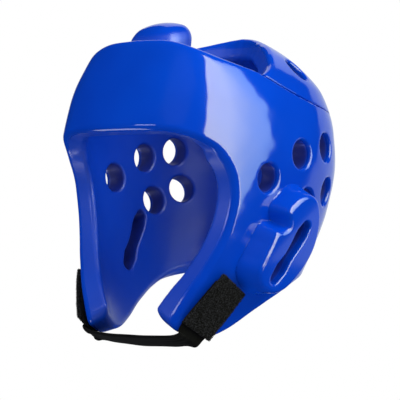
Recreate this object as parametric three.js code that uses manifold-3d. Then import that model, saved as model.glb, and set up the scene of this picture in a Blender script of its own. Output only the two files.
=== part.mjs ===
// A padded martial arts headgear of dipped foam, in millimetres, as it sits on a level head.
// +Z is up, the wearer looks along -Y, and the wearer's left ear is on +X.
// The origin is the middle of the head hollow at the height of the brow edge.
import * as THREE from 'three';
import { mergeVertices } from 'three/addons/utils/BufferGeometryUtils.js';
import Module from 'manifold-3d';

const wasm = await Module();
wasm.setup();

// Driving sizes of the foam shell, measured to its outer face.
const HALF_WIDTH = 96;
const FRONT_REACH = 118;
const BACK_REACH = 112;
const CROWN_HEIGHT = 106;
const CHIN_DROP = 155;
const FOAM_WALL = 20;
const RIM_BEVEL = 5;
const BROW_BEVEL = 8;
const SEAM_BEVEL = 1.6;
const SEAM_GAP = 0.5;
const CONTACT_GAP = 0.3;

// Driving sizes of the pieces on the shell.
const TONGUE_WIDTH = 58;
const TONGUE_LENGTH = 46;
const TONGUE_WALL = 14;
const TONGUE_SINK = 2.5;
const NECK_WIDTH = 34;
const NECK_WALL = 8;
const VENT_BORE = 23;
const VENT_BEVEL = 3;
const GUARD_LENGTH = 84;
const GUARD_WIDTH = 50;
const GUARD_HEIGHT = 18;
const GUARD_DRAFT = 5;
const GUARD_BEVEL = 4;
const EAR_SLOT_LENGTH = 56;
const EAR_SLOT_WIDTH = 12;
const EAR_SLOT_BEVEL = 1.5;
const STRAP_WIDTH = 28;
const STRAP_THICKNESS = 2.4;
const STRAP_SAG = 4;
const STRAP_SWEEP = 5;
const STRAP_TURN = 1;
const STRAP_FLAT = 0.62;
const STRAP_TILT = 11;
const STRAP_UNTWIST = 0.4;
const TAB_SHARE = 0.86;
const TAB_WIDTH = 30;
const TAB_THICKNESS = 3.2;

// Where the ear guard sits: turn from the front in degrees, height, and lean of its long axis.
const GUARD_TURN = 84;
const GUARD_DROP = 72;
const GUARD_LEAN = 34;

// Middle of the tongue's pad, as a share of the front reach.
const TONGUE_PLACE = 0.52;

// How far a cutting body runs past the wall, and how far above the outer face it closes.
const CUT_REACH = 3;
const CUT_HEIGHT = 45;

// Fineness of the faceted surfaces.
const TURN_STEPS = 56;
const LOOP_STEPS = 52;
const BORE_SIDES = 12;

// Level sections of the outer face, from the crown down. Height is a share of CROWN_HEIGHT above
// the brow and of CHIN_DROP below it; width, front and back are shares of the half width and the
// two reaches; the squareness of each half is a superellipse exponent.
const SECTIONS = [
  { height: 1, width: 0, front: 0, back: 0, frontSquare: 2.2, backSquare: 2 },
  { height: 0.972, width: 0.25, front: 0.39, back: 0.25, frontSquare: 2.4, backSquare: 2 },
  { height: 0.896, width: 0.47, front: 0.653, back: 0.473, frontSquare: 2.8, backSquare: 2.1 },
  { height: 0.755, width: 0.7, front: 0.835, back: 0.679, frontSquare: 3.3, backSquare: 2.2 },
  { height: 0.566, width: 0.875, front: 0.893, back: 0.848, frontSquare: 3.2, backSquare: 2.3 },
  { height: 0.283, width: 0.979, front: 0.958, back: 0.955, frontSquare: 3.1, backSquare: 2.3 },
  { height: 0, width: 1, front: 1, back: 1, frontSquare: 3, backSquare: 2.3 },
  { height: -0.226, width: 0.972, front: 0.992, back: 0.95, frontSquare: 3, backSquare: 2.3 },
  { height: -0.452, width: 0.906, front: 0.949, back: 0.83, frontSquare: 2.9, backSquare: 2.3 },
  { height: -0.677, width: 0.813, front: 0.89, back: 0.72, frontSquare: 2.7, backSquare: 2.2 },
  { height: -0.968, width: 0.646, front: 0.814, back: 0.625, frontSquare: 2.5, backSquare: 2.2 },
  { height: -1.2, width: 0.52, front: 0.75, back: 0.55, frontSquare: 2.4, backSquare: 2.2 },
];

// Upper edge of the shell from brow to nape: turn from the front in degrees, height as a share of
// CROWN_HEIGHT. Up to OPENING_CORNER it borders the crown opening, behind it the crown panel.
const OPENING_CORNER = 65;
const UPPER_EDGE = [
  { turn: 0, height: 0.785 },
  { turn: 20, height: 0.768 },
  { turn: 34, height: 0.705 },
  { turn: 45, height: 0.65 },
  { turn: 55, height: 0.6 },
  { turn: 65, height: 0.56 },
  { turn: 81, height: 0.498 },
  { turn: 100, height: 0.45 },
  { turn: 130, height: 0.428 },
  { turn: 180, height: 0.41 },
];

// Front edge of the crown panel, from the corner of the opening over the top of the head.
const PANEL_EDGE = [
  { turn: 0, height: 0.42 },
  { turn: 40, height: 0.42 },
  { turn: 58, height: 0.47 },
  { turn: 65, height: 0.553 },
  { turn: 71.5, height: 0.63 },
  { turn: 77, height: 0.698 },
  { turn: 84.8, height: 0.8 },
  { turn: 98, height: 0.88 },
  { turn: 120, height: 0.938 },
  { turn: 150, height: 0.966 },
  { turn: 180, height: 0.974 },
];

// Edge of the face opening: brow, temple, cheek and the front of the jaw arm. Height is a share of
// CROWN_HEIGHT above the brow line and of CHIN_DROP below it.
const FACE_EDGE = [
  { turn: 0, height: 0.025 },
  { turn: 14, height: 0.025 },
  { turn: 26, height: 0.022 },
  { turn: 33, height: 0 },
  { turn: 39, height: -0.022 },
  { turn: 44, height: -0.05 },
  { turn: 49, height: -0.11 },
  { turn: 52.6, height: -0.18 },
  { turn: 54.2, height: -0.26 },
  { turn: 54.2, height: -0.34 },
  { turn: 53.2, height: -0.42 },
  { turn: 51, height: -0.51 },
  { turn: 48, height: -0.59 },
  { turn: 44.5, height: -0.67 },
  { turn: 40, height: -0.75 },
  { turn: 34.5, height: -0.86 },
  { turn: 31, height: -0.95 },
  { turn: 28, height: -1.04 },
  { turn: 18, height: -1.1 },
  { turn: 0, height: -1.12 },
];

// Lower edge of the shell, from under the chin round the jaw arm to the nape.
const LOWER_EDGE = [
  { turn: 0, height: -0.9 },
  { turn: 20, height: -0.91 },
  { turn: 31, height: -0.955 },
  { turn: 42, height: -0.992 },
  { turn: 52, height: -0.985 },
  { turn: 67, height: -0.928 },
  { turn: 85, height: -0.824 },
  { turn: 101, height: -0.732 },
  { turn: 120, height: -0.64 },
  { turn: 150, height: -0.57 },
  { turn: 180, height: -0.55 },
];

// Round vents of one side: turn from the front in degrees and height share as in FACE_EDGE.
const SHELL_VENTS = [
  { turn: 71.5, height: -0.147 },
  { turn: 93.5, height: 0.018 },
  { turn: 115.7, height: 0.13 },
  { turn: 122.5, height: -0.138 },
  { turn: 102.8, height: -0.228 },
];
const PANEL_VENTS = [{ turn: 107.5, height: 0.716 }];

// Outline of the ear guard's outer face, along its long axis and across it toward the nape, as
// shares of GUARD_LENGTH and GUARD_WIDTH. The bite in its front edge lies near along = 0.1.
const GUARD_OUTLINE = [
  { along: 0.536, across: -0.12 },
  { along: 0.47, across: 0.13 },
  { along: 0.36, across: 0.32 },
  { along: 0.24, across: 0.45 },
  { along: 0.1, across: 0.52 },
  { along: -0.1, across: 0.535 },
  { along: -0.27, across: 0.48 },
  { along: -0.38, across: 0.36 },
  { along: -0.45, across: 0.16 },
  { along: -0.46, across: -0.06 },
  { along: -0.41, across: -0.21 },
  { along: -0.3, across: -0.29 },
  { along: -0.17, across: -0.36 },
  { along: -0.03, across: -0.42 },
  { along: 0.035, across: -0.33 },
  { along: 0.1, across: -0.285 },
  { along: 0.16, across: -0.36 },
  { along: 0.2, across: -0.485 },
  { along: 0.32, across: -0.475 },
  { along: 0.43, across: -0.42 },
  { along: 0.51, across: -0.29 },
];

// Middle line and width of the slot over the ear, in the guard's own axes: along as a share of
// EAR_SLOT_LENGTH, across of GUARD_WIDTH and width of EAR_SLOT_WIDTH. The offset is along the guard,
// as a share of GUARD_LENGTH.
const EAR_SLOT = [
  { along: -0.44, across: 0.13, width: 0.9 },
  { along: -0.3, across: 0.11, width: 1.08 },
  { along: -0.1, across: 0.08, width: 0.85 },
  { along: 0.1, across: 0.05, width: 0.95 },
  { along: 0.3, across: 0.01, width: 1.08 },
  { along: 0.42, across: -0.01, width: 0.85 },
];
const EAR_SLOT_OFFSET = -0.012;

// Middle line of the strap on the jaw arm, from its upper end to just below the arm's tip.
const STRAP_LINE = [
  { turn: 59.5, height: -0.69 },
  { turn: 51, height: -0.82 },
  { turn: 42, height: -0.945 },
  { turn: 39.8, height: -0.982 },
];

// Points of a table above, smoothed, with heights in millimetres.
function edgePoints(table, steps) {
  const points = table.map(({ turn, height }) => new THREE.Vector3(turn, heightOf(height), 0));
  return new THREE.CatmullRomCurve3(points, false, 'centripetal').getSpacedPoints(steps)
    .map((p) => ({ turn: p.x, height: p.y }));
}

function heightOf(share) {
  return share * (share > 0 ? CROWN_HEIGHT : CHIN_DROP);
}

// Height as an angle-like measure, so that the sections close smoothly at the crown.
function ease(share) {
  return share > 0 ? Math.asin(Math.min(share, 1)) / (Math.PI / 2) : share;
}

// Slope of a section's value at one row of the table, flat at a peak so that nothing overshoots.
function slopeAt(key, i) {
  const before = SECTIONS[i - 1];
  const here = SECTIONS[i];
  const after = SECTIONS[i + 1];
  if (!before || !after) {
    const [a, b] = before ? [before, here] : [here, after];
    return (b[key] - a[key]) / (ease(b.height) - ease(a.height));
  }
  const left = (here[key] - before[key]) / (ease(here.height) - ease(before.height));
  const right = (after[key] - here[key]) / (ease(after.height) - ease(here.height));
  return left * right <= 0 ? 0 : (2 * left * right) / (left + right);
}

function sectionValue(key, share) {
  const s = ease(share);
  let i = 0;
  while (i < SECTIONS.length - 2 && ease(SECTIONS[i + 1].height) > s) i += 1;
  const from = ease(SECTIONS[i].height);
  const span = ease(SECTIONS[i + 1].height) - from;
  const t = (s - from) / span;
  const a = SECTIONS[i][key];
  const b = SECTIONS[i + 1][key];
  const da = slopeAt(key, i) * span;
  const db = slopeAt(key, i + 1) * span;
  const t2 = t * t;
  const t3 = t2 * t;
  return a * (2 * t3 - 3 * t2 + 1) + da * (t3 - 2 * t2 + t) + b * (3 * t2 - 2 * t3) + db * (t3 - t2);
}

// A point of the outer face at a turn from the front and a height.
function facePoint(turn, height) {
  const share = height / (height > 0 ? CROWN_HEIGHT : CHIN_DROP);
  const angle = THREE.MathUtils.degToRad(turn);
  const sine = Math.sin(angle);
  const cosine = Math.cos(angle);
  const width = Math.max(sectionValue('width', share) * HALF_WIDTH, 1e-4);
  const ahead = cosine > 0;
  const reach = ahead ? FRONT_REACH : BACK_REACH;
  const depth = Math.max(sectionValue(ahead ? 'front' : 'back', share) * reach, 1e-4);
  const square = sectionValue(ahead ? 'frontSquare' : 'backSquare', share);
  const sum = (Math.abs(sine) / width) ** square + (Math.abs(cosine) / depth) ** square;
  const radius = sum ** (-1 / square);
  return new THREE.Vector3(radius * sine, -radius * cosine, height);
}

// The outward direction there, from a small step each way.
function faceNormal(turn, height) {
  const lift = 0.2;
  const sway = 0.3;
  const top = Math.min(height + lift, CROWN_HEIGHT * 0.9999);
  const round = facePoint(turn + sway, height).sub(facePoint(turn - sway, height));
  const up = facePoint(turn, top).sub(facePoint(turn, top - 2 * lift));
  return round.cross(up).normalize();
}

// A closed solid from shared points and triangles, turned outward.
function solidFrom(points, faces) {
  let volume = 0;
  for (const [a, b, c] of faces) volume += points[a].dot(points[b].clone().cross(points[c]));
  const outward = volume > 0 ? faces : faces.map(([a, b, c]) => [a, c, b]);
  const mesh = new wasm.Mesh({
    numProp: 3,
    vertProperties: new Float32Array(points.flatMap((p) => [p.x, p.y, p.z])),
    triVerts: new Uint32Array(outward.flat()),
  });
  return new wasm.Manifold(mesh);
}

// A closed solid through rings of equally many points, with a fan to a tip at each end.
function loft(rings, firstTip, lastTip) {
  const count = rings[0].length;
  const points = [firstTip, ...rings.flat(), lastTip];
  const at = (row, k) => 1 + row * count + (k % count);
  const last = rings.length - 1;
  const faces = [];
  for (let k = 0; k < count; k += 1) {
    faces.push([0, at(0, k + 1), at(0, k)]);
    faces.push([points.length - 1, at(last, k), at(last, k + 1)]);
    for (let row = 0; row < last; row += 1) {
      faces.push([at(row, k), at(row, k + 1), at(row + 1, k + 1)]);
      faces.push([at(row, k), at(row + 1, k + 1), at(row + 1, k)]);
    }
  }
  return solidFrom(points, faces);
}

function middleOf(ring) {
  return ring.reduce((sum, p) => sum.add(p), new THREE.Vector3()).divideScalar(ring.length);
}

// The head form, grown or shrunk along its outward direction.
const FORM_LEVELS = [
  -1.2, -1.05, -0.9, -0.75, -0.6, -0.45, -0.3, -0.15, 0,
  0.16, 0.32, 0.46, 0.59, 0.7, 0.8, 0.88, 0.94, 0.98,
];
const FORM_FOOT = -1.3;

function headForm(growth) {
  const rings = FORM_LEVELS.map((share) => {
    const ring = [];
    for (let k = 0; k < TURN_STEPS; k += 1) {
      const turn = (360 * k) / TURN_STEPS;
      const normal = faceNormal(turn, heightOf(share));
      ring.push(facePoint(turn, heightOf(share)).addScaledVector(normal, growth));
    }
    return ring;
  });
  const foot = new THREE.Vector3(0, 0, CHIN_DROP * FORM_FOOT + growth);
  const top = new THREE.Vector3(0, 0, CROWN_HEIGHT + growth);
  return loft(rings, foot, top);
}

// A loop round the whole head from the half table of one side.
function wholeLoop(table) {
  const half = edgePoints(table, LOOP_STEPS / 2);
  const other = half.slice(1, -1).reverse().map(({ turn, height }) => ({ turn: -turn, height }));
  return [...half, ...other];
}

// The body that an edge loop encloses, cut square to the outer face and bevelled at both faces of
// the wall. Side +1 flares it outward, for a body that is cut away; -1 narrows it, for one kept.
function edgeBody(loop, { side, outerBevel, innerBevel, growth, outerTip, innerTip, cutDirection }) {
  const axis = outerTip.clone().sub(innerTip).normalize();
  const frames = loop.map(({ turn, height }, k) => {
    const before = loop[(k + loop.length - 1) % loop.length];
    const after = loop[(k + 1) % loop.length];
    const normal = faceNormal(turn, height);
    const through = cutDirection ? cutDirection(normal, height) : normal;
    const along = facePoint(after.turn, after.height).sub(facePoint(before.turn, before.height));
    return {
      point: facePoint(turn, height),
      through,
      out: along.cross(normal).normalize(),
      wall: FOAM_WALL / through.dot(normal),
      outer: outerBevel(turn),
      inner: innerBevel(turn),
    };
  });
  const turnOut = Math.sign(frames.reduce((sum, { point, out }) => {
    const aside = point.clone().sub(innerTip).projectOnPlane(axis).normalize();
    return sum + out.dot(aside) - out.dot(axis);
  }, 0));
  const row = (rise, spread) => frames.map((f) => f.point.clone()
    .addScaledVector(f.through, rise(f))
    .addScaledVector(f.out, turnOut * (growth + side * spread(f))));
  const rings = [
    row(() => CUT_HEIGHT, (f) => f.outer + CUT_REACH),
    row(() => CUT_REACH, (f) => f.outer + CUT_REACH),
    row((f) => -f.outer, () => 0),
    row((f) => f.inner - f.wall, () => 0),
    row((f) => -f.wall - CUT_REACH, (f) => f.inner + CUT_REACH),
  ];
  return loft(rings, outerTip, innerTip);
}

// The face opening is cut square to the brow, but straight across the head at the cheeks. It turns
// from one to the other over a share of CHIN_DROP below the brow, and back again where the
// outward direction's sideways part falls under CHIN_FADE.
const BROW_FADE = 0.09;
const CHIN_FADE = 0.4;

function faceCut(normal, height) {
  const nearBrow = 1 + height / (CHIN_DROP * BROW_FADE);
  const nearChin = 1 - Math.abs(normal.x) / CHIN_FADE;
  const share = THREE.MathUtils.clamp(Math.max(nearBrow, nearChin), 0, 1);
  return new THREE.Vector3(normal.x, normal.y * share, normal.z * share).normalize();
}

// A straight round or shaped bore square to the outer face, bevelled at both faces of the wall.
function boreBody(frame, outline, { depth, rise, bevel }) {
  const ring = (level, spread) => outline(spread).map(({ along, across }) => frame.origin.clone()
    .addScaledVector(frame.normal, level)
    .addScaledVector(frame.along, along)
    .addScaledVector(frame.across, across));
  const rings = [
    ring(rise + CUT_REACH, bevel + CUT_REACH),
    ring(rise - bevel, 0),
    ring(bevel - depth, 0),
    ring(-depth - CUT_REACH, bevel + CUT_REACH),
  ];
  return loft(rings, middleOf(rings[0]), middleOf(rings[3]));
}

// Axes on the outer face: outward, up the face turned by a lean, and across toward the nape.
function frameAt(turn, height, lean) {
  const normal = faceNormal(turn, height);
  const up = new THREE.Vector3(0, 0, 1).projectOnPlane(normal).normalize();
  const back = up.clone().cross(normal);
  const angle = THREE.MathUtils.degToRad(lean);
  const along = up.clone().multiplyScalar(Math.cos(angle)).addScaledVector(back, Math.sin(angle));
  const across = back.clone().multiplyScalar(Math.cos(angle)).addScaledVector(up, -Math.sin(angle));
  return { origin: facePoint(turn, height), normal, along, across };
}

function circle(radius) {
  return (spread) => Array.from({ length: BORE_SIDES }, (_, k) => {
    const angle = (2 * Math.PI * k) / BORE_SIDES;
    const size = radius + spread;
    return { along: size * Math.cos(angle), across: size * Math.sin(angle) };
  });
}

// An outline in a guard's axes, moved outward by a spread along its own edge direction.
function spreadOutline(points, spread) {
  return points.map((p, k) => {
    const before = points[(k + points.length - 1) % points.length];
    const after = points[(k + 1) % points.length];
    const run = new THREE.Vector2(after.x - before.x, after.y - before.y).normalize();
    return { along: p.x + spread * run.y, across: p.y - spread * run.x };
  });
}

function guardOutline(spread) {
  const points = GUARD_OUTLINE
    .map((p) => new THREE.Vector3(p.along * GUARD_LENGTH, p.across * GUARD_WIDTH, 0));
  const smooth = new THREE.CatmullRomCurve3(points, true, 'centripetal').getSpacedPoints(48).slice(0, -1);
  return spreadOutline(smooth, spread);
}

function slotOutline(spread) {
  const middle = EAR_SLOT.map((p) => new THREE.Vector3(
    p.along * EAR_SLOT_LENGTH + EAR_SLOT_OFFSET * GUARD_LENGTH,
    p.across * GUARD_WIDTH,
    (p.width * EAR_SLOT_WIDTH) / 2,
  ));
  const line = new THREE.CatmullRomCurve3(middle, false, 'centripetal').getSpacedPoints(8);
  const run = (k) => {
    const a = line[Math.max(k - 1, 0)];
    const b = line[Math.min(k + 1, line.length - 1)];
    return new THREE.Vector2(b.x - a.x, b.y - a.y).normalize();
  };
  const edge = (k, turn) => {
    const d = run(k).rotateAround(new THREE.Vector2(), turn);
    return new THREE.Vector2(line[k].x + d.x * line[k].z, line[k].y + d.y * line[k].z);
  };
  const last = line.length - 1;
  const right = Math.PI / 2;
  const rear = line.map((_, k) => edge(k, right));
  const front = line.map((_, k) => edge(k, -right)).reverse();
  const cap = (k, first) => [1, 2].map((i) => edge(k, first + (i * Math.PI) / 3));
  const points = [...rear.reverse(), ...cap(0, right), ...front.reverse(), ...cap(last, -right)];
  return spreadOutline(points, spread);
}

// A flat band of constant width through stations, each with its inner face's middle point, its
// outward direction and its direction across.
function band(stations, width, thickness, lift) {
  const rings = stations.map(({ point, normal, across }) => {
    const corner = (side, rise) => point.clone()
      .addScaledVector(across, (side * width) / 2)
      .addScaledVector(normal, lift + rise);
    return [corner(-1, 0), corner(1, 0), corner(1, thickness), corner(-1, thickness)];
  });
  return loft(rings, middleOf(rings[0]), middleOf(rings[rings.length - 1]));
}

// Stations of the strap on the wearer's left jaw arm, from its upper end to the arm's tip.
function armStations(steps) {
  const line = edgePoints(STRAP_LINE, steps);
  return line.map(({ turn, height }, k) => {
    const before = line[Math.max(k - 1, 0)];
    const after = line[Math.min(k + 1, line.length - 1)];
    const start = facePoint(before.turn, before.height);
    const run = facePoint(after.turn, after.height).sub(start).normalize();
    const normal = faceNormal(turn, height);
    const across = run.clone().cross(normal).normalize();
    return { point: facePoint(turn, height), normal, across, run };
  });
}

function mirrored({ point, normal, across }) {
  const flip = new THREE.Vector3(-1, 1, 1);
  return {
    point: point.clone().multiply(flip),
    normal: normal.clone().multiply(flip),
    across: across.clone().multiply(flip),
  };
}

// The strap's way under the chin, from one arm's tip to the other, with its front edge tilted up.
function chinStations(tip, steps) {
  const middle = new THREE.Vector3(0, tip.point.y - STRAP_SWEEP, tip.point.z - STRAP_SAG);
  const leave = tip.point.clone().addScaledVector(tip.run, STRAP_TURN);
  const handle = middle.clone().add(new THREE.Vector3(tip.point.x * STRAP_FLAT, 0, 0));
  const half = new THREE.CubicBezierCurve3(tip.point, leave, handle, middle);
  const tilt = THREE.MathUtils.degToRad(STRAP_TILT);
  const ahead = new THREE.Vector3(0, -Math.cos(tilt), Math.sin(tilt));
  return half.getPoints(steps).slice(1).map((point, i) => {
    const t = (i + 1) / steps;
    const run = half.getTangent(t);
    const untwist = THREE.MathUtils.smoothstep(t, 0, STRAP_UNTWIST);
    const across = tip.across.clone().lerp(ahead, untwist).projectOnPlane(run).normalize();
    return { point, normal: across.clone().cross(run).normalize(), across };
  });
}

function mirrorSolid(solid) {
  const { vertProperties, triVerts } = solid.getMesh();
  const points = [];
  for (let i = 0; i < vertProperties.length; i += 3) {
    points.push(new THREE.Vector3(-vertProperties[i], vertProperties[i + 1], vertProperties[i + 2]));
  }
  const faces = [];
  for (let i = 0; i < triVerts.length; i += 3) {
    faces.push([triVerts[i], triVerts[i + 2], triVerts[i + 1]]);
  }
  return solidFrom(points, faces);
}

// The pieces

const everywhere = (value) => () => value;
const crownTips = {
  outerTip: new THREE.Vector3(0, 0, CROWN_HEIGHT * 2.4),
  innerTip: new THREE.Vector3(0, 0, -CROWN_HEIGHT * 0.1),
};
const upperLoop = wholeLoop(UPPER_EDGE);

// The rim's bevel narrows to the seam's ahead of the corner of the crown opening.
function taperTo(bevel) {
  const start = OPENING_CORNER * 0.6;
  return (turn) => {
    const share = THREE.MathUtils.smoothstep(Math.abs(turn), start, OPENING_CORNER);
    return THREE.MathUtils.lerp(bevel, SEAM_BEVEL, share);
  };
}

const outerForm = headForm(0);
const foamWall = outerForm.subtract(headForm(-FOAM_WALL));

const aboveShell = edgeBody(upperLoop, {
  side: 1, outerBevel: taperTo(BROW_BEVEL), innerBevel: taperTo(RIM_BEVEL), growth: 0, ...crownTips,
});
const panelSide = edgeBody(upperLoop, {
  side: -1, outerBevel: everywhere(SEAM_BEVEL), innerBevel: everywhere(SEAM_BEVEL),
  growth: -SEAM_GAP, ...crownTips,
});
const tongueSide = edgeBody(upperLoop, {
  side: -1, outerBevel: everywhere(RIM_BEVEL), innerBevel: everywhere(SEAM_BEVEL),
  growth: -SEAM_GAP, ...crownTips,
});
const crownOpening = edgeBody(wholeLoop(PANEL_EDGE), {
  side: 1, outerBevel: everywhere(RIM_BEVEL), innerBevel: everywhere(RIM_BEVEL),
  growth: 0, ...crownTips,
});
const faceOpening = edgeBody(wholeLoop(FACE_EDGE), {
  side: 1, outerBevel: everywhere(RIM_BEVEL), innerBevel: everywhere(RIM_BEVEL), growth: 0,
  outerTip: new THREE.Vector3(0, -FRONT_REACH * 2.5, -CHIN_DROP * 0.5),
  innerTip: new THREE.Vector3(0, BACK_REACH * 0.2, -CHIN_DROP * 0.5),
  cutDirection: faceCut,
});
const belowShell = edgeBody(wholeLoop(LOWER_EDGE), {
  side: 1, outerBevel: everywhere(RIM_BEVEL), innerBevel: everywhere(RIM_BEVEL), growth: 0,
  outerTip: new THREE.Vector3(0, 0, -CHIN_DROP * 3),
  innerTip: new THREE.Vector3(0, 0, -CHIN_DROP * 0.7),
});

function vents(table) {
  const bores = table.map(({ turn, height }) => boreBody(
    frameAt(turn, heightOf(height), 0),
    circle(VENT_BORE / 2),
    { depth: FOAM_WALL, rise: 0, bevel: VENT_BEVEL },
  ));
  const left = bores.reduce((all, bore) => all.add(bore));
  return left.add(mirrorSolid(left));
}

const guardFrame = frameAt(GUARD_TURN, heightOf(-GUARD_DROP / CHIN_DROP), GUARD_LEAN);

function earSlot() {
  return boreBody(guardFrame, slotOutline, {
    depth: FOAM_WALL, rise: GUARD_HEIGHT, bevel: EAR_SLOT_BEVEL,
  });
}

function shell() {
  const slot = earSlot();
  return foamWall.subtract(aboveShell).subtract(faceOpening).subtract(belowShell)
    .subtract(vents(SHELL_VENTS)).subtract(slot.add(mirrorSolid(slot)));
}

function crownPanel() {
  return foamWall.intersect(panelSide).subtract(crownOpening).subtract(vents(PANEL_VENTS));
}

// An upright prism over a plan outline, with +Y of the outline toward the face.
function prismOver(shape) {
  const depth = CROWN_HEIGHT * 1.2;
  const geometry = new THREE.ExtrudeGeometry(shape, { depth, bevelEnabled: false, curveSegments: 24 });
  geometry.scale(1, -1, 1);
  return solidOf(geometry);
}

// A rounded pad over the forehead, on a lower neck that runs to the brow's rear face.
function crownTongue() {
  const under = headForm(-TONGUE_SINK - TONGUE_WALL);
  const middle = FRONT_REACH * TONGUE_PLACE;
  const pad = new THREE.Shape().absellipse(0, middle, TONGUE_WIDTH / 2, TONGUE_LENGTH / 2, 0, 2 * Math.PI);
  const neck = new THREE.Shape();
  const half = NECK_WIDTH / 2;
  neck.moveTo(-half, middle);
  neck.lineTo(half, middle);
  neck.lineTo(half, FRONT_REACH);
  neck.lineTo(-half, FRONT_REACH);
  neck.closePath();
  const dome = headForm(-TONGUE_SINK).subtract(under).intersect(prismOver(pad));
  const root = headForm(NECK_WALL - TONGUE_SINK - TONGUE_WALL).subtract(under).intersect(prismOver(neck));
  return dome.add(root).intersect(tongueSide);
}

// A closed geometry as a solid, with its shared corners merged.
function solidOf(geometry) {
  geometry.deleteAttribute('normal');
  geometry.deleteAttribute('uv');
  const merged = mergeVertices(geometry, 1e-4);
  const place = merged.attributes.position;
  const corner = (_, i) => new THREE.Vector3().fromBufferAttribute(place, i);
  const points = Array.from({ length: place.count }, corner);
  const faces = [];
  for (let i = 0; i < merged.index.count; i += 3) {
    faces.push([merged.index.getX(i), merged.index.getX(i + 1), merged.index.getX(i + 2)]);
  }
  return solidFrom(points, faces);
}

function earGuard() {
  const { origin, normal, along, across } = guardFrame;
  const ring = (level, spread) => guardOutline(spread).map((p) => origin.clone()
    .addScaledVector(normal, level)
    .addScaledVector(along, p.along)
    .addScaledVector(across, p.across));
  const rings = [
    ring(-FOAM_WALL, GUARD_DRAFT),
    ring(0, GUARD_DRAFT),
    ring(GUARD_HEIGHT - GUARD_BEVEL, GUARD_BEVEL * 0.6),
    ring(GUARD_HEIGHT, 0),
  ];
  return loft(rings, middleOf(rings[0]), middleOf(rings[3]))
    .subtract(headForm(CONTACT_GAP)).subtract(earSlot());
}

const arm = armStations(8);
const chin = chinStations(arm[arm.length - 1], 9);
const strapHalf = [...arm.slice(1), ...chin];
const strapStations = [...strapHalf, ...strapHalf.slice(0, -1).reverse().map(mirrored)];
const strapSolid = band(strapStations, STRAP_WIDTH, STRAP_THICKNESS, CONTACT_GAP);
const tabStations = arm.slice(0, Math.round(TAB_SHARE * arm.length));
const tabSolid = band(tabStations, TAB_WIDTH, TAB_THICKNESS, STRAP_THICKNESS + 3.5 * CONTACT_GAP);

const MATERIALS = {
  foam: { color: 0x0646c4, roughness: 0.12, metalness: 0 },
  strap: { color: 0x0b0c0f, roughness: 0.7, metalness: 0 },
  fastener: { color: 0x070708, roughness: 0.95, metalness: 0 },
};

// A named mesh of its own material, placed by its position.
function piece(name, solid, finish, origin = new THREE.Vector3()) {
  const { vertProperties, triVerts } = solid.getMesh();
  const geometry = new THREE.BufferGeometry();
  geometry.setAttribute('position', new THREE.BufferAttribute(new Float32Array(vertProperties), 3));
  geometry.setIndex(new THREE.BufferAttribute(new Uint32Array(triVerts), 1));
  geometry.translate(-origin.x, -origin.y, -origin.z);
  geometry.computeVertexNormals();
  const mesh = new THREE.Mesh(geometry, new THREE.MeshStandardMaterial(MATERIALS[finish]));
  mesh.name = name;
  mesh.position.copy(origin);
  return mesh;
}

const headgear = new THREE.Group();
headgear.add(piece('shell', shell(), 'foam'));
headgear.add(piece('crown_panel', crownPanel(), 'foam'));
headgear.add(piece('crown_tongue', crownTongue(), 'foam'));

const guard = earGuard();
const guardPlace = guardFrame.origin;
const otherPlace = guardPlace.clone().multiply(new THREE.Vector3(-1, 1, 1));
headgear.add(piece('ear_guard_left', guard, 'foam', guardPlace));
headgear.add(piece('ear_guard_right', mirrorSolid(guard), 'foam', otherPlace));
headgear.add(piece('chin_strap', strapSolid, 'strap'));
headgear.add(piece('fastener_tab_left', tabSolid, 'fastener'));
headgear.add(piece('fastener_tab_right', mirrorSolid(tabSolid), 'fastener'));

export default headgear;
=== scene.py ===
"""Dresses the foam headgear's solids: glossy dipped foam, black chin strap and its fuzzy fasteners."""
import math

import bpy
import numpy as np
from mathutils import Matrix, Vector
from mathutils.bvhtree import BVHTree


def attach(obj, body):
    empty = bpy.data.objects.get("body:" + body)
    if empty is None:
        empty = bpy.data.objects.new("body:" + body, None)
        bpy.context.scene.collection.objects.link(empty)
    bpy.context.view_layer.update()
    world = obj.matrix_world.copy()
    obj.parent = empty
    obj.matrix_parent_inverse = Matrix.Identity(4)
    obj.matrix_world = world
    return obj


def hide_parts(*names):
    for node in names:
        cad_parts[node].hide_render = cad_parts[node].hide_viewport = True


bl_info = {
    "name": "Foam headgear",
    "version": (1, 0, 0),
    "blender": (4, 5, 0),
    "location": "View3D > Sidebar > Headgear",
    "description": "Builds the visible pieces of a padded headgear and its studio",
    "category": "Object",
}

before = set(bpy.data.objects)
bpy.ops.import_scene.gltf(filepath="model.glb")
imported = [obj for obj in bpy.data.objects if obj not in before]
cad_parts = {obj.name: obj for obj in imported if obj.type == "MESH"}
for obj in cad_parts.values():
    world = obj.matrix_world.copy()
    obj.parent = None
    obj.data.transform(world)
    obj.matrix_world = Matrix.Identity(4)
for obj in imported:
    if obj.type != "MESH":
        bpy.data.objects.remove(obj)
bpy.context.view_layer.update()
METRES = 0.001

# The form of the outer face, in millimetres, as the solids have it
HALF_WIDTH = 96.0
FRONT_REACH = 118.0
BACK_REACH = 112.0
CROWN_HEIGHT = 106.0
CHIN_DROP = 155.0
FOAM_WALL = 20.0

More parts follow.
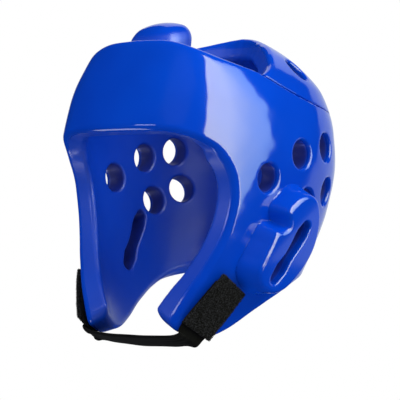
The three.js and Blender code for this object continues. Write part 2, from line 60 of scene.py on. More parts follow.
# Level sections: height, width, front, back, squareness of the front half and of the back half
SECTIONS = np.array([
    (1, 0, 0, 0, 2.2, 2),
    (0.972, 0.25, 0.39, 0.25, 2.4, 2),
    (0.896, 0.47, 0.653, 0.473, 2.8, 2.1),
    (0.755, 0.7, 0.835, 0.679, 3.3, 2.2),
    (0.566, 0.875, 0.893, 0.848, 3.2, 2.3),
    (0.283, 0.979, 0.958, 0.955, 3.1, 2.3),
    (0, 1, 1, 1, 3, 2.3),
    (-0.226, 0.972, 0.992, 0.95, 3, 2.3),
    (-0.452, 0.906, 0.949, 0.83, 2.9, 2.3),
    (-0.677, 0.813, 0.89, 0.72, 2.7, 2.2),
    (-0.968, 0.646, 0.814, 0.625, 2.5, 2.2),
    (-1.2, 0.52, 0.75, 0.55, 2.4, 2.2),
])[::-1]

# Edges of the foam: turn from the front in degrees, share of the crown height or the chin drop
UPPER_EDGE = (
    (0, 0.785), (20, 0.768), (34, 0.705), (45, 0.65), (55, 0.6),
    (65, 0.56), (81, 0.498), (100, 0.45), (130, 0.428), (180, 0.41),
)
PANEL_EDGE = (
    (0, 0.42), (40, 0.42), (58, 0.47), (65, 0.553), (71.5, 0.63), (77, 0.698),
    (84.8, 0.808), (95, 0.885), (110, 0.932), (130, 0.956), (155, 0.968), (180, 0.972),
)
FACE_EDGE = (
    (0, 0.025), (14, 0.025), (26, 0.022), (33, 0), (39, -0.022), (44, -0.05), (49, -0.11),
    (52.6, -0.18), (54.2, -0.26), (54.2, -0.34), (53.2, -0.42), (51, -0.51), (48, -0.59),
    (44.5, -0.67), (40, -0.75), (34.5, -0.86), (31, -0.95), (28, -1.04), (18, -1.1), (0, -1.12),
)
LOWER_EDGE = (
    (0, -0.9), (20, -0.91), (31, -0.955), (42, -0.992), (52, -0.985), (67, -0.928),
    (85, -0.824), (101, -0.732), (120, -0.64), (150, -0.57), (180, -0.55),
)
SHELL_VENTS = ((71.5, -0.147), (93.5, 0.018), (115.7, 0.13), (122.5, -0.138), (102.8, -0.228))
PANEL_VENTS = ((107.5, 0.716),)
STRAP_LINE = ((59.5, -0.69), (51, -0.82), (42, -0.945), (39.8, -0.982))

# Each opening's axis: a point beyond the opening and one inside the form
CROWN_AXIS = ((0, 0, CROWN_HEIGHT * 2.4), (0, 0, -CROWN_HEIGHT * 0.1))
FACE_AXIS = ((0, -FRONT_REACH * 2.5, -CHIN_DROP * 0.5), (0, BACK_REACH * 0.2, -CHIN_DROP * 0.5))
NECK_AXIS = ((0, 0, -CHIN_DROP * 3), (0, 0, -CHIN_DROP * 0.7))

# Slow waves in the foam: share, phase, and two directions with their pace in radians to the millimetre
WAVES = (
    (1, 1, (0.11, 0.17, 0.05), (-0.07, 0.06, 0.19)),
    (0.6, 2, (0.21, -0.16, 0.12), (0.05, 0.23, -0.14)),
)

# The face opening's cut turns square within these shares of the chin drop and of the normal's lean
BROW_FADE = 0.09
CHEEK_FADE = 0.4

# Roundings where cuts meet the faces, the gaps at glued joints, and how far back a bore or a slot cuts
JAW_ROUND = 7.0
VENT_ROUND = 2.6
SLOT_ROUND = 2.0
TAPER_TURNS = (39, 65)
PANEL_GAP = 0.5
BORE_BACK = 60
SLOT_BACK = 70

# The crown panel's rear rim rises in its middle
LIP = 5.5
LIP_REACH = 45.0
LIP_WIDTH = 40.0

# Ear guard: where it sits, its size, its outline and slot as shares of length and width
GUARD_PLACE = (84.0, -72.0, 34.0)
GUARD_LENGTH = 84.0
GUARD_WIDTH = 50.0
GUARD_HEIGHT = 18.0
GUARD_DRAFT = 5.0
GUARD_EDGE = 2.6
GUARD_FOOT = 0.8
GUARD_FADE = 1.4
GUARD_CROWN = 0.9
GUARD_SINK = 0.4
GUARD_GAP = 0.4
GUARD_BACK_ROUND = 0.2
GUARD_SLOT_ROUND = 1.6
GUARD_OUTLINE = (
    (0.536, -0.12), (0.47, 0.13), (0.36, 0.32), (0.24, 0.45), (0.1, 0.52), (-0.1, 0.535),
    (-0.27, 0.48), (-0.38, 0.36), (-0.45, 0.16), (-0.46, -0.06), (-0.41, -0.21), (-0.3, -0.29),
    (-0.17, -0.36), (-0.03, -0.42), (0.035, -0.33), (0.1, -0.285), (0.16, -0.36), (0.2, -0.485),
    (0.32, -0.475), (0.43, -0.42), (0.51, -0.29),
)
SLOT_LENGTH = 56.0
SLOT_WIDTH = 12.0
SLOT_SHIFT = -0.012
SLOT_LINE = (
    (-0.44, 0.13, 0.9), (-0.3, 0.11, 1.08), (-0.1, 0.08, 0.85),
    (0.1, 0.05, 0.95), (0.3, 0.01, 1.08), (0.42, -0.01, 0.85),
)

# Tongue: its size, its place as a share of the front reach, its squareness and roundings, and its neck
TONGUE_WIDTH = 58.0
TONGUE_LENGTH = 46.0
TONGUE_INSET = (4, 3)
TONGUE_WALL = 14.0
TONGUE_SINK = 2.5
TONGUE_PLACE = 0.52
TONGUE_SQUARE = 2.7
TONGUE_AHEAD = 8.5
TONGUE_DOME = 5.0
TONGUE_RISE = 4.0
TONGUE_ROUND = 8.5
TONGUE_FOOT_ROUND = 2.0
NECK_WIDTH = 34.0
NECK_WALL = 8.0
NECK_ROUND = 2.5
NECK_FOOT_ROUND = 1.5
NECK_JOIN = 3.0
NECK_END_ROUND = 1.5

# Chin strap: its size, its fall and sweep under the chin, its turn at the tips, its twist and its gathers
STRAP_WIDTH = 28.0
STRAP_THICKNESS = 2.4
STRAP_SAG = 4.0
STRAP_SWEEP = 5.0
STRAP_TURN = 1.0
STRAP_FLAT = 0.62
STRAP_TILT = 11.0
STRAP_UNTWIST = 0.4
ARM_STEPS = 72
CHIN_STEPS = 80
BAND_START = 9
GATHER = 0.2
GATHER_REACH = 13.0
GATHER_SHIFT = 5.0

# Folds in the gathers: share, waves across the band and pace along it; and the slow fold under the chin
FOLDS = ((1, 26, 0.12), (0.5, 47, -0.2))
SLOW_FOLD = (4, 0.16)

# Fastener tabs: their size, their share of the arm's line, their lift in contact gaps, and their pile
TAB_WIDTH = 30.0
TAB_THICKNESS = 3.2
TAB_REACH = 0.875
TAB_LIFT = 3.5
TAB_UNEVEN = 0.12
CONTACT_GAP = 0.3
PER_SQUARE_CENTIMETRE = 1e4
FIBRE_SHARE = 0.07
LOOP_START = -25
LOOP_SWEEP = 230
LOOP_LEAN = 0.9
LOOP_TURN = 6.283
LOOP_SIZES = (0.6, 1.35)

# Holes are darkened with painted shade, and holes and the inner side look duller: distances over which that
# begins
SLOT_EDGE = (0.3, 1.2)
SLOT_DEPTH = (3, 9)
VENT_EDGE = (0.3, 1.5)
VENT_DEPTH = (2, 6)
INSIDE_DEPTH = (2.6, 6.5)
INSIDE_SHARE = 0.6
# Painted shade: the tint that darkens the colour deep in the bores and the slot
HOLE_SHADE_TINT = (0.3, 0.42, 0.6)
SATIN = 0.42
SMEAR = 0.05

# Foam pieces: the lowest and highest corner of their space, the grid's step and the most triangles
FOAM_PIECES = {
    "foam_shell": ((-102, -124, -160), (102, 118, 86), 1.6, 195000),
    "foam_crown_panel": ((-94, -48, 30), (94, 110, 112), 1.2, 120000),
    "foam_crown_tongue": ((-34, -100, 62), (34, -30, 108), 1.0, 60000),
    "foam_ear_guard_left": ((70, -52, -124), (122, 36, -14), 0.9, 90000),
}

# Camera: turn toward the left side and tilt in degrees, distance and shifts in metres
CAMERA_TURN = 41
CAMERA_TILT = -8
CAMERA_DISTANCE = 1.5
CAMERA_ASIDE = -0.0058
CAMERA_RISE = -0.0354
CAMERA_LENS = 162
CAMERA_SENSOR = 36

# Floor, in metres
FLOOR_LEVEL = -1.5
FLOOR_REACH = 5.0

# Panels seen in the foam's gloss: rise, first and last turn in degrees
SOFTBOX = (
    (-18, 105, 110), (-13, 103, 116), (-8, 97, 118), (-3, 66, 121), (3, 62, 127), (12, 61, 131),
    (30, 57, 129), (37, 56, 128), (48, 55, 125), (54, 55, 112), (60, 56, 88), (64, 56, 62),
)
BACKDROP = (
    (-14, 134, 240), (-11, 136, 240), (6, 154, 240), (12, 160, 240),
    (30, 172, 240), (42, 180, 240), (56, 196, 240),
)
LOW_PANEL = ((-58, -98, -62), (-42, -98, -62))
FRONT_PANEL = ((-7, -30, -12), (7, -30, -12))

# Their colours from the first side to the last
SOFTBOX_FADE = (
    (0, (1, 1, 0.62)), (0.45, (0.9, 0.94, 0.62)),
    (0.8, (0.43, 0.55, 0.5)), (1, (0.27, 0.41, 0.47)),
)
BACKDROP_FADE = ((0, (0.7, 0.85, 1)), (1, (1, 1, 1)))
PLAIN_FADE = ((0, (1, 1, 1)), (1, (1, 1, 1)))
FRONT_SHARE = 1.5
PANEL_COLUMNS = 24
PANEL_ROWS = 28

# Soft lights: turn and rise in degrees, and what a strength of one gives in watts
LEFT_LIGHT = (100, 45)
FRONT_LIGHT = (10, 35)
LIGHT_REACH = 2.2
LIGHT_SIZE = 1.6
LIGHT_POWER = 40

# Even light, gloss and paper colours
EVEN_TINT = (0.92, 0.95, 1)
STUDIO_TINT = (0.2, 0.45, 1)
FLOOR_COLOUR = (0.94, 0.95, 0.96, 1)

# Lattice on which the smooth distances are kept
LATTICE_STEP = 4.0
LATTICE_LOW = np.array((-16.0, -140.0, -188.0))
LATTICE_COUNT = (37, 68, 79)
FAR = 40
RULING_DEPTH = 34
RULING_RISE = 12
CHUNK = 20000


# Properties

class FoamSettings(bpy.types.PropertyGroup):
    """Colours, gloss and roundings of the foam"""
    colour: bpy.props.FloatVectorProperty(
        name="Foam colour", description="Colour of the dipped skin",
        subtype="COLOR", size=3, min=0, max=1, default=(0.0004, 0.062, 0.60))
    shade: bpy.props.FloatVectorProperty(
        name="Deep colour", description="Colour where the skin is thicker",
        subtype="COLOR", size=3, min=0, max=1, default=(0.0003, 0.047, 0.50))
    gloss: bpy.props.FloatProperty(
        name="Skin roughness", description="Roughness of the dipped skin",
        min=0, max=1, default=0.07)
    rim: bpy.props.FloatProperty(
        name="Rim radius", description="Rounding of the open rims",
        unit="LENGTH", min=0.001, max=0.009, default=0.005)
    brow: bpy.props.FloatProperty(
        name="Brow radius", description="Rounding of the upper front edge",
        unit="LENGTH", min=0.002, max=0.012, default=0.009)
    seam: bpy.props.FloatProperty(
        name="Seam radius", description="Rounding along the crown panel's seam",
        unit="LENGTH", min=0.0005, max=0.004, default=0.0011)
    vent: bpy.props.FloatProperty(
        name="Vent size", description="Width of the round vents",
        unit="LENGTH", min=0.01, max=0.03, default=0.023)
    wave: bpy.props.FloatProperty(
        name="Waviness", description="Height of the slow waves in the foam",
        unit="LENGTH", min=0, max=0.001, default=0.00006)


class StrapSettings(bpy.types.PropertyGroup):
    """Colours and folds of the strap, and the pile of its fasteners"""
    colour: bpy.props.FloatVectorProperty(
        name="Webbing colour", description="Colour of the chin strap",
        subtype="COLOR", size=3, min=0, max=1, default=(0.0022, 0.0022, 0.0026))
    pile: bpy.props.FloatVectorProperty(
        name="Pile colour", description="Colour of the fastener's pile",
        subtype="COLOR", size=3, min=0, max=1, default=(0.0016, 0.0016, 0.0018))
    fold: bpy.props.FloatProperty(
        name="Fold height", description="Height of the folds under the chin",
        unit="LENGTH", min=0, max=0.002, default=0.0007)
    density: bpy.props.FloatProperty(
        name="Pile density", description="Fibre loops to a square centimetre",
        min=10, max=400, default=184)
    length: bpy.props.FloatProperty(
        name="Pile length", description="Width of one fibre loop",
        unit="LENGTH", min=0.0003, max=0.003, default=0.0012)


class StageSettings(bpy.types.PropertyGroup):
    """Brightness of the studio"""
    key: bpy.props.FloatProperty(
        name="Side softbox", description="Brightness of the softbox on the left side",
        min=0, max=50, default=9.0)
    rear: bpy.props.FloatProperty(
        name="Backdrop", description="Brightness of the backdrop in the foam's gloss",
        min=0, max=50, default=0.8)
    low: bpy.props.FloatProperty(
        name="Low reflector", description="Brightness of the low reflector on the right side",
        min=0, max=50, default=3.0)
    dim: bpy.props.FloatProperty(
        name="Dark studio", description="Brightness of the rest of the studio in the foam's gloss",
        min=0, max=5, default=0.04)
    fill: bpy.props.FloatProperty(
        name="Fill", description="Strength of the even light all round",
        min=0, max=5, default=0.52)
    left: bpy.props.FloatProperty(
        name="Left light", description="Strength of the soft light on the left side",
        min=0, max=50, default=0.95)
    front: bpy.props.FloatProperty(
        name="Front light", description="Strength of the soft light ahead",
        min=0, max=50, default=0.42)


# The form of the outer face

def ease(share):
    """Shares of the crown height, spread so that the sections near the top lie evenly."""
    return np.where(share > 0, np.arcsin(np.clip(share, 0, 1)) / (math.pi / 2), share)


def height_of(share):
    """Heights in millimetres from shares of the crown height, or of the chin drop below zero."""
    return share * np.where(np.asarray(share) > 0, CROWN_HEIGHT, CHIN_DROP)


def section_slopes(levels, values):
    """Slopes at the sections that keep the curves between them from overshooting."""
    steps = np.diff(values, axis=0) / np.diff(levels)[:, None]
    slopes = np.zeros_like(values)
    slopes[0], slopes[-1] = steps[0], steps[-1]
    left, right = steps[:-1], steps[1:]
    both = left * right > 0
    total = np.where(both, left + right, 1)
    slopes[1:-1] = np.where(both, 2 * left * right / total, 0)
    return slopes


SECTION_LEVELS = ease(SECTIONS[:, 0])
SECTION_VALUES = SECTIONS[:, 1:]
SECTION_SLOPES = section_slopes(SECTION_LEVELS, SECTION_VALUES)


def section_at(height):
    """Width, front, back and both squarenesses of the form at heights in millimetres."""
    level = ease(np.where(height > 0, height / CROWN_HEIGHT, height / CHIN_DROP))
    i = np.clip(np.searchsorted(SECTION_LEVELS, level) - 1, 0, len(SECTION_LEVELS) - 2)
    span = (SECTION_LEVELS[i + 1] - SECTION_LEVELS[i])[..., None]
    t = (level - SECTION_LEVELS[i])[..., None] / span
    a, b = SECTION_VALUES[i], SECTION_VALUES[i + 1]
    da, db = SECTION_SLOPES[i] * span, SECTION_SLOPES[i + 1] * span
    t2, t3 = t * t, t * t * t
    return a * (2 * t3 - 3 * t2 + 1) + da * (t3 - 2 * t2 + t) + b * (3 * t2 - 2 * t3) + db * (t3 - t2)


def face_point(turn, height):
    """Points of the outer face at turns from the front in degrees and heights in millimetres."""
    turn, height = np.broadcast_arrays(np.asarray(turn, float), np.asarray(height, float))
    angle = np.radians(turn)
    sine, cosine = np.sin(angle), np.cos(angle)
    width, front, back, front_square, back_square = np.moveaxis(section_at(height), -1, 0)
    ahead = cosine > 0
    width = np.maximum(width * HALF_WIDTH, 1e-4)
    depth = np.maximum(np.where(ahead, front * FRONT_REACH, back * BACK_REACH), 1e-4)
    square = np.where(ahead, front_square, back_square)
    total = (np.abs(sine) / width) ** square + (np.abs(cosine) / depth) ** square
    radius = total ** (-1 / square)
    return np.stack([radius * sine, -radius * cosine, height], -1)


def unit(v):
    return v / np.maximum(np.linalg.norm(v, axis=-1, keepdims=True), 1e-12)


def face_normal(turn, height, sideways=0.3, upward=0.2):
    """Outward directions of the outer face, from points a little to each side, above and below."""
    turn, height = np.asarray(turn, float), np.asarray(height, float)
    top = np.minimum(height + upward, CROWN_HEIGHT * 0.9999)
    around = face_point(turn + sideways, height) - face_point(turn - sideways, height)
    up = face_point(turn, top) - face_point(turn, top - 2 * upward)
    return unit(np.cross(around, up))


def smooth_line(points, closed, count):
    """Evenly spaced points of a centripetal spline through the given ones."""
    pts = np.asarray(points, float)
    if closed:
        ring = np.vstack([pts[-1:], pts, pts[:2]])
    else:
        ring = np.vstack([2 * pts[:1] - pts[1:2], pts, 2 * pts[-1:] - pts[-2:-1]])
    share = np.linspace(0, 1, 40, endpoint=False)[:, None]
    dense = []
    for x0, x1, x2, x3 in zip(ring[:-3], ring[1:-2], ring[2:-1], ring[3:]):
        d0, d1, d2 = (max(math.sqrt(np.linalg.norm(v)), 1e-4) for v in (x1 - x0, x2 - x1, x3 - x2))
        m1 = ((x1 - x0) / d0 - (x2 - x0) / (d0 + d1) + (x2 - x1) / d1) * d1
        m2 = ((x2 - x1) / d1 - (x3 - x1) / (d1 + d2) + (x3 - x2) / d2) * d1
        cubic = (2 * x1 - 2 * x2 + m1 + m2, -3 * x1 + 3 * x2 - 2 * m1 - m2, m1, x1)
        dense.append(((cubic[0] * share + cubic[1]) * share + cubic[2]) * share + cubic[3])
    dense = np.vstack([*dense, ring[-2][None]])
    run = np.concatenate([[0], np.cumsum(np.linalg.norm(np.diff(dense, axis=0), axis=1))])
    want = np.linspace(0, run[-1], count, endpoint=not closed)
    return np.stack([np.interp(want, run, dense[:, k]) for k in range(dense.shape[1])], -1)


def edge_line(table, count):
    """Turns and heights along an edge's table of turns and shares."""
    return smooth_line([(turn, float(height_of(share))) for turn, share in table], False, count)


def whole_loop(table, count=480):
    """A closed edge from the table of its left half."""
    half = edge_line(table, count // 2 + 1)
    other = half[-2:0:-1] * (-1, 1)
    return np.vstack([half, other])


def face_cut(normal, height):
    """The face opening is cut square at the brow and straight from side to side at the cheek arms."""
    near_brow = 1 + height / (CHIN_DROP * BROW_FADE)
    near_chin = 1 - np.abs(normal[:, 0]) / CHEEK_FADE
    share = np.clip(np.maximum(near_brow, near_chin), 0, 1)
    return unit(normal * np.stack([np.ones_like(share), share, share], -1))


def edge_rulings(table, outer_tip, inner_tip, cut=None):
    """Lines through the wall along an edge, and the directions that lead out of its opening."""
    loop = whole_loop(table)
    turn, height = loop[:, 0], loop[:, 1]
    point, normal = face_point(turn, height), face_normal(turn, height)
    through = cut(normal, height) if cut else normal
    along = np.roll(point, -1, 0) - np.roll(point, 1, 0)
    out = unit(np.cross(along, normal))
    axis = unit(np.subtract(outer_tip, inner_tip).astype(float))
    aside = point - np.asarray(inner_tip, float)
    aside = unit(aside - (aside @ axis)[:, None] * axis)
    sign = np.sign(np.sum(out * aside) - np.sum(out @ axis))
    out = out * sign
    out = unit(out - np.sum(out * through, 1, keepdims=True) * through)
    return point, through, out


def edge_distance(points, rulings):
    """How far points lie outside an edge's opening, measured square to its cut."""
    base, through, out = (a.astype(np.float32) for a in rulings)
    result = np.empty(len(points), np.float32)
    for start in range(0, len(points), CHUNK):
        p = points[start:start + CHUNK].astype(np.float32)
        square = np.sum(p * p, 1)[:, None] - 2 * p @ base.T + np.sum(base * base, 1)[None]
        depth = p @ through.T - np.sum(base * through, 1)[None]
        reach = np.clip(depth, -RULING_DEPTH, RULING_RISE)
        k = np.argmin(square - 2 * reach * depth + reach * reach, 1)
        result[start:start + CHUNK] = np.sum((p - base[k]) * out[k], 1)
    return result


# Smooth distances kept on a lattice and read back with cubic splines

def lattice_points():
    axes = [LATTICE_LOW[a] + LATTICE_STEP * np.arange(LATTICE_COUNT[a]) for a in range(3)]
    return np.stack(np.meshgrid(*axes, indexing="ij"), -1).reshape(-1, 3)


def form_distance(points, turn_step=1.25, low_rows=100, high_rows=110, last_angle=1.535, foot_height=-260):
    """Signed distances to the outer face, found on a fine mesh of it."""
    turns = np.arange(0, 360, turn_step)
    below = np.linspace(SECTIONS[0, 0], 0, low_rows, endpoint=False)
    shares = np.concatenate([below, np.sin(np.linspace(0, last_angle, high_rows))])
    grid = face_point(*np.meshgrid(turns, height_of(shares)))
    rows, count = grid.shape[:2]
    verts = [*map(tuple, grid.reshape(-1, 3)), (0, 0, foot_height), (0, 0, CROWN_HEIGHT)]
    faces = []
    for i in range(rows - 1):
        for k in range(count):
            n = (k + 1) % count
            faces.append((i * count + k, i * count + n, (i + 1) * count + n, (i + 1) * count + k))
    foot, top = len(verts) - 2, len(verts) - 1
    for k in range(count):
        n = (k + 1) % count
        faces.append((n, k, foot))
        faces.append(((rows - 1) * count + k, (rows - 1) * count + n, top))
    tree = BVHTree.FromPolygons(verts, faces)
    result = np.empty(len(points))
    for i, p in enumerate(points):
        near, normal, _, gap = tree.find_nearest(p)
        out = (p[0] - near[0]) * normal[0] + (p[1] - near[1]) * normal[1] + (p[2] - near[2]) * normal[2]
        result[i] = gap if out > 0 else -gap
    return result


def spline_weights(t):
    """Cubic spline weights of four neighbours and their slopes."""
    t2, t3 = t * t, t * t * t
    value = np.stack([1 - 3 * t + 3 * t2 - t3, 4 - 6 * t2 + 3 * t3, 1 + 3 * t + 3 * t2 - 3 * t3, t3]) / 6
    slope = np.stack([-1 + 2 * t - t2, -4 * t + 3 * t2, 1 + 2 * t - 3 * t2, t2]) / 2
    return value, slope


def spline_coefficients(samples, axes):
    """Weights on a grid whose cubic spline passes through the samples."""
    for axis in range(axes):
        n = samples.shape[axis]
        system = np.diag(np.full(n, 4.0)) + np.diag(np.ones(n - 1), 1) + np.diag(np.ones(n - 1), -1)
        system[0, :2] = (6, 0)
        system[-1, -2:] = (0, 6)
        samples = np.moveaxis(np.tensordot(np.linalg.inv(system / 6), samples, (1, axis)), 0, axis)
    return samples.astype(np.float32)


class Lattice:
    """The distance to the outer face and to each edge's cut, smooth everywhere near the wall."""

    names = ("form", "upper", "panel", "face", "lower")

    def __init__(self, wave):
        points = lattice_points()
        uneven = sum(share * np.sin(points @ one + phase) * np.sin(points @ other)
                     for share, phase, one, other in WAVES)
        fields = [
            form_distance(points) + wave * uneven,
            edge_distance(points, edge_rulings(UPPER_EDGE, *CROWN_AXIS)),
            edge_distance(points, edge_rulings(PANEL_EDGE, *CROWN_AXIS)),
            edge_distance(points, edge_rulings(FACE_EDGE, *FACE_AXIS, cut=face_cut)),
            edge_distance(points, edge_rulings(LOWER_EDGE, *NECK_AXIS)),
        ]
        stacked = np.stack([np.clip(f, -FAR, FAR) for f in fields], -1)
        self.kept = spline_coefficients(stacked.reshape(*LATTICE_COUNT, len(fields)), 3)

    def read(self, points, slopes):
        place = (points - LATTICE_LOW) / LATTICE_STEP
        cell = np.clip(np.floor(place).astype(int), 1, np.array(LATTICE_COUNT) - 3)
        weights = [spline_weights(np.clip(place[:, a] - cell[:, a], 0, 1)) for a in range(3)]
        value = np.zeros((len(points), len(self.names)), np.float32)
        slope = np.zeros((len(points), 3, len(self.names)), np.float32) if slopes else None
        (wx, sx), (wy, sy), (wz, sz) = ((w.astype(np.float32), s.astype(np.float32)) for w, s in weights)
        for i in range(4):
            for j in range(4):
                for k in range(4):
                    here = self.kept[cell[:, 0] - 1 + i, cell[:, 1] - 1 + j, cell[:, 2] - 1 + k]
                    value += (wx[i] * wy[j] * wz[k])[:, None] * here
                    if slopes:
                        slope[:, 0] += (sx[i] * wy[j] * wz[k])[:, None] * here
                        slope[:, 1] += (wx[i] * sy[j] * wz[k])[:, None] * here
                        slope[:, 2] += (wx[i] * wy[j] * sz[k])[:, None] * here
        if slopes:
            slope /= LATTICE_STEP
        return {name: Distance(value[:, n], slope[:, :, n] if slopes else None)
                for n, name in enumerate(self.names)}


class Distance:
    """Signed distances of many points, negative inside, with their slopes where they are wanted."""

    def __init__(self, value, slope=None):
        self.value = value
        self.slope = slope

    def __neg__(self):
        return Distance(-self.value, None if self.slope is None else -self.slope)

    def __add__(self, amount):
        return Distance(self.value + amount, self.slope)

    def __sub__(self, amount):
        return Distance(self.value - amount, self.slope)

    def both(self, other, radius=0.0):
        """Inside both, with the corner between them rounded."""
        a, b = self.value, other.value
        u, w = np.maximum(a + radius, 0), np.maximum(b + radius, 0)
        size = np.sqrt(u * u + w * w)
        value = np.minimum(np.maximum(a, b), -radius) + size
        if self.slope is None:
            return Distance(value)
        rounded = (u > 0) & (w > 0) & (size > 1e-9)
        blend = (u[:, None] * self.slope + w[:, None] * other.slope) / np.maximum(size, 1e-9)[:, None]
        pick = np.where((a > b)[:, None], self.slope, other.slope)
        return Distance(value, np.where(rounded[:, None], blend, pick))

    def either(self, other, radius=0.0):
        return -((-self).both(-other, radius))


class Outline:
    """A closed flat outline's distance, kept on a fine sheet and read back with cubic splines."""

    def __init__(self, points, step=1.5, margin=24.0):
        pts = np.asarray(points, float)
        self.step = step
        self.low = pts.min(0) - margin
        self.count = np.ceil((pts.max(0) + margin - self.low) / step).astype(int) + 1
        axes = [self.low[a] + step * np.arange(self.count[a]) for a in range(2)]
        sheet = np.stack(np.meshgrid(*axes, indexing="ij"), -1).reshape(-1, 2)
        a, b = pts, np.roll(pts, -1, 0)
        edge = b - a
        best = np.full(len(sheet), 1e9)
        inside = np.zeros(len(sheet), bool)
        for start, side, stop in zip(a, edge, b):
            t = np.clip((sheet - start) @ side / max(side @ side, 1e-12), 0, 1)
            best = np.minimum(best, np.sum((sheet - start - t[:, None] * side) ** 2, 1))
            crosses = (start[1] > sheet[:, 1]) != (stop[1] > sheet[:, 1])
            rise = side[1] if abs(side[1]) > 1e-12 else 1e-12
            inside ^= crosses & (sheet[:, 0] < start[0] + (sheet[:, 1] - start[1]) * side[0] / rise)
        distance = np.where(inside, -1, 1) * np.sqrt(best)
        self.kept = spline_coefficients(distance.reshape(self.count), 2)

    def read(self, across):
        place = (across - self.low) / self.step
        cell = np.clip(np.floor(place).astype(int), 1, self.count - 3)
        (wx, sx), (wy, sy) = (spline_weights(np.clip(place[:, a] - cell[:, a], 0, 1)) for a in range(2))
        value, slope = np.zeros(len(across)), np.zeros((len(across), 2))
        for i in range(4):
            for j in range(4):
                here = self.kept[cell[:, 0] - 1 + i, cell[:, 1] - 1 + j]
                value += wx[i] * wy[j] * here
                slope[:, 0] += sx[i] * wy[j] * here
                slope[:, 1] += wx[i] * sy[j] * here
        return value, slope / self.step


def place_on_face(turn, height, lean):
    """Origin and axes on the outer face: outward, along and across toward the nape."""
    normal = face_normal(turn, height)
    up = unit(np.array((0, 0, 1.0)) - normal[2] * normal)
    back = np.cross(up, normal)
    angle = math.radians(lean)
    along = up * math.cos(angle) + back * math.sin(angle)
    across = back * math.cos(angle) - up * math.sin(angle)
    return face_point(turn, height), normal, along, across


class Bore:
    """A round hole square to the outer face."""

    def __init__(self, turn, share, radius):
        self.origin, self.axis, self.along, self.across = place_on_face(turn, float(height_of(share)), 0)
        self.radius = radius

    def read(self, points, slopes):
        d = points - self.origin
        aside = d - (d @ self.axis)[:, None] * self.axis
        size = np.maximum(np.linalg.norm(aside, axis=1), 1e-6)
        ahead = d @ self.axis > -BORE_BACK
        value = np.where(ahead, size - self.radius, FAR)
        return Distance(value, aside / size[:, None] if slopes else None)


class GuardShape:
    """The ear guard's outline and the slot through it, read in the guard's own axes."""

    def __init__(self):
        turn, drop, lean = GUARD_PLACE
        self.origin, self.normal, self.along, self.across = place_on_face(turn, drop, lean)
        table = np.array(GUARD_OUTLINE) * (GUARD_LENGTH, GUARD_WIDTH)
        self.outline = Outline(smooth_line(table, True, 300))
        self.slot = Outline(self.slot_points(), step=1.0, margin=16.0)

    def slot_points(self):
        table = np.array(SLOT_LINE) * (SLOT_LENGTH, GUARD_WIDTH, SLOT_WIDTH / 2)
        line = smooth_line(table + (SLOT_SHIFT * GUARD_LENGTH, 0, 0), False, 60)
        run = unit(np.gradient(line[:, :2], axis=0))
        side = np.stack([-run[:, 1], run[:, 0]], -1)
        left, right = line[:, :2] + side * line[:, 2:], line[:, :2] - side * line[:, 2:]
        caps = []
        for end, sign in ((-1, 1), (0, -1)):
            turn = np.linspace(0, math.pi, 14)[1:-1]
            ahead, aside = run[end] * sign, side[end] * sign
            ring = np.cos(turn)[:, None] * aside + np.sin(turn)[:, None] * ahead
            caps.append(line[end, :2] + ring * line[end, 2])
        return np.vstack([left, caps[0], right[::-1], caps[1]])

    def local(self, points):
        d = points - self.origin
        return np.stack([d @ self.along, d @ self.across], -1), d @ self.normal

    def lift(self, value, flat, rise, slopes):
        if not slopes:
            return Distance(value)
        slope = flat[:, :1] * self.along + flat[:, 1:] * self.across
        return Distance(value, slope + np.asarray(rise).reshape(-1, 1) * self.normal)

    def opening(self, points, slopes):
        across, rise = self.local(points)
        value, flat = self.slot.read(across)
        value = np.where(rise > -SLOT_BACK, value, FAR)
        return self.lift(value, flat, np.zeros(len(points)), slopes)

    def block(self, points, form, slopes):
        """The raised block, with drafted sides, a soft top edge and a flared foot."""
        across, rise = self.local(points)
        value, flat = self.outline.read(across)
        draft = GUARD_DRAFT / GUARD_HEIGHT
        grow = draft * (GUARD_HEIGHT - rise)
        size = math.hypot(1, draft)
        side = self.lift((value - grow) / size, flat / size, np.full(len(points), draft / size), slopes)
        flare = GUARD_FOOT * np.exp(-np.maximum(form.value, 0) / GUARD_FADE)
        bent = side.slope + (flare / GUARD_FADE)[:, None] * form.slope if slopes else None
        side = Distance(side.value - flare, bent)
        middle = across / (GUARD_LENGTH / 2, GUARD_WIDTH / 2)
        crown = GUARD_CROWN * (1 - np.sum(middle * middle, 1))
        bend = 2 * GUARD_CROWN * middle / (GUARD_LENGTH / 2, GUARD_WIDTH / 2)
        top = self.lift(rise - GUARD_HEIGHT - crown + GUARD_SINK, bend, np.ones(len(points)), slopes)
        return side.both(top, GUARD_EDGE)


# Surfaces from distances

EDGES = [((i, j, k), axis) for axis in range(3) for i in (0, 1) for j in (0, 1) for k in (0, 1)
         if (i, j, k)[axis] == 0]


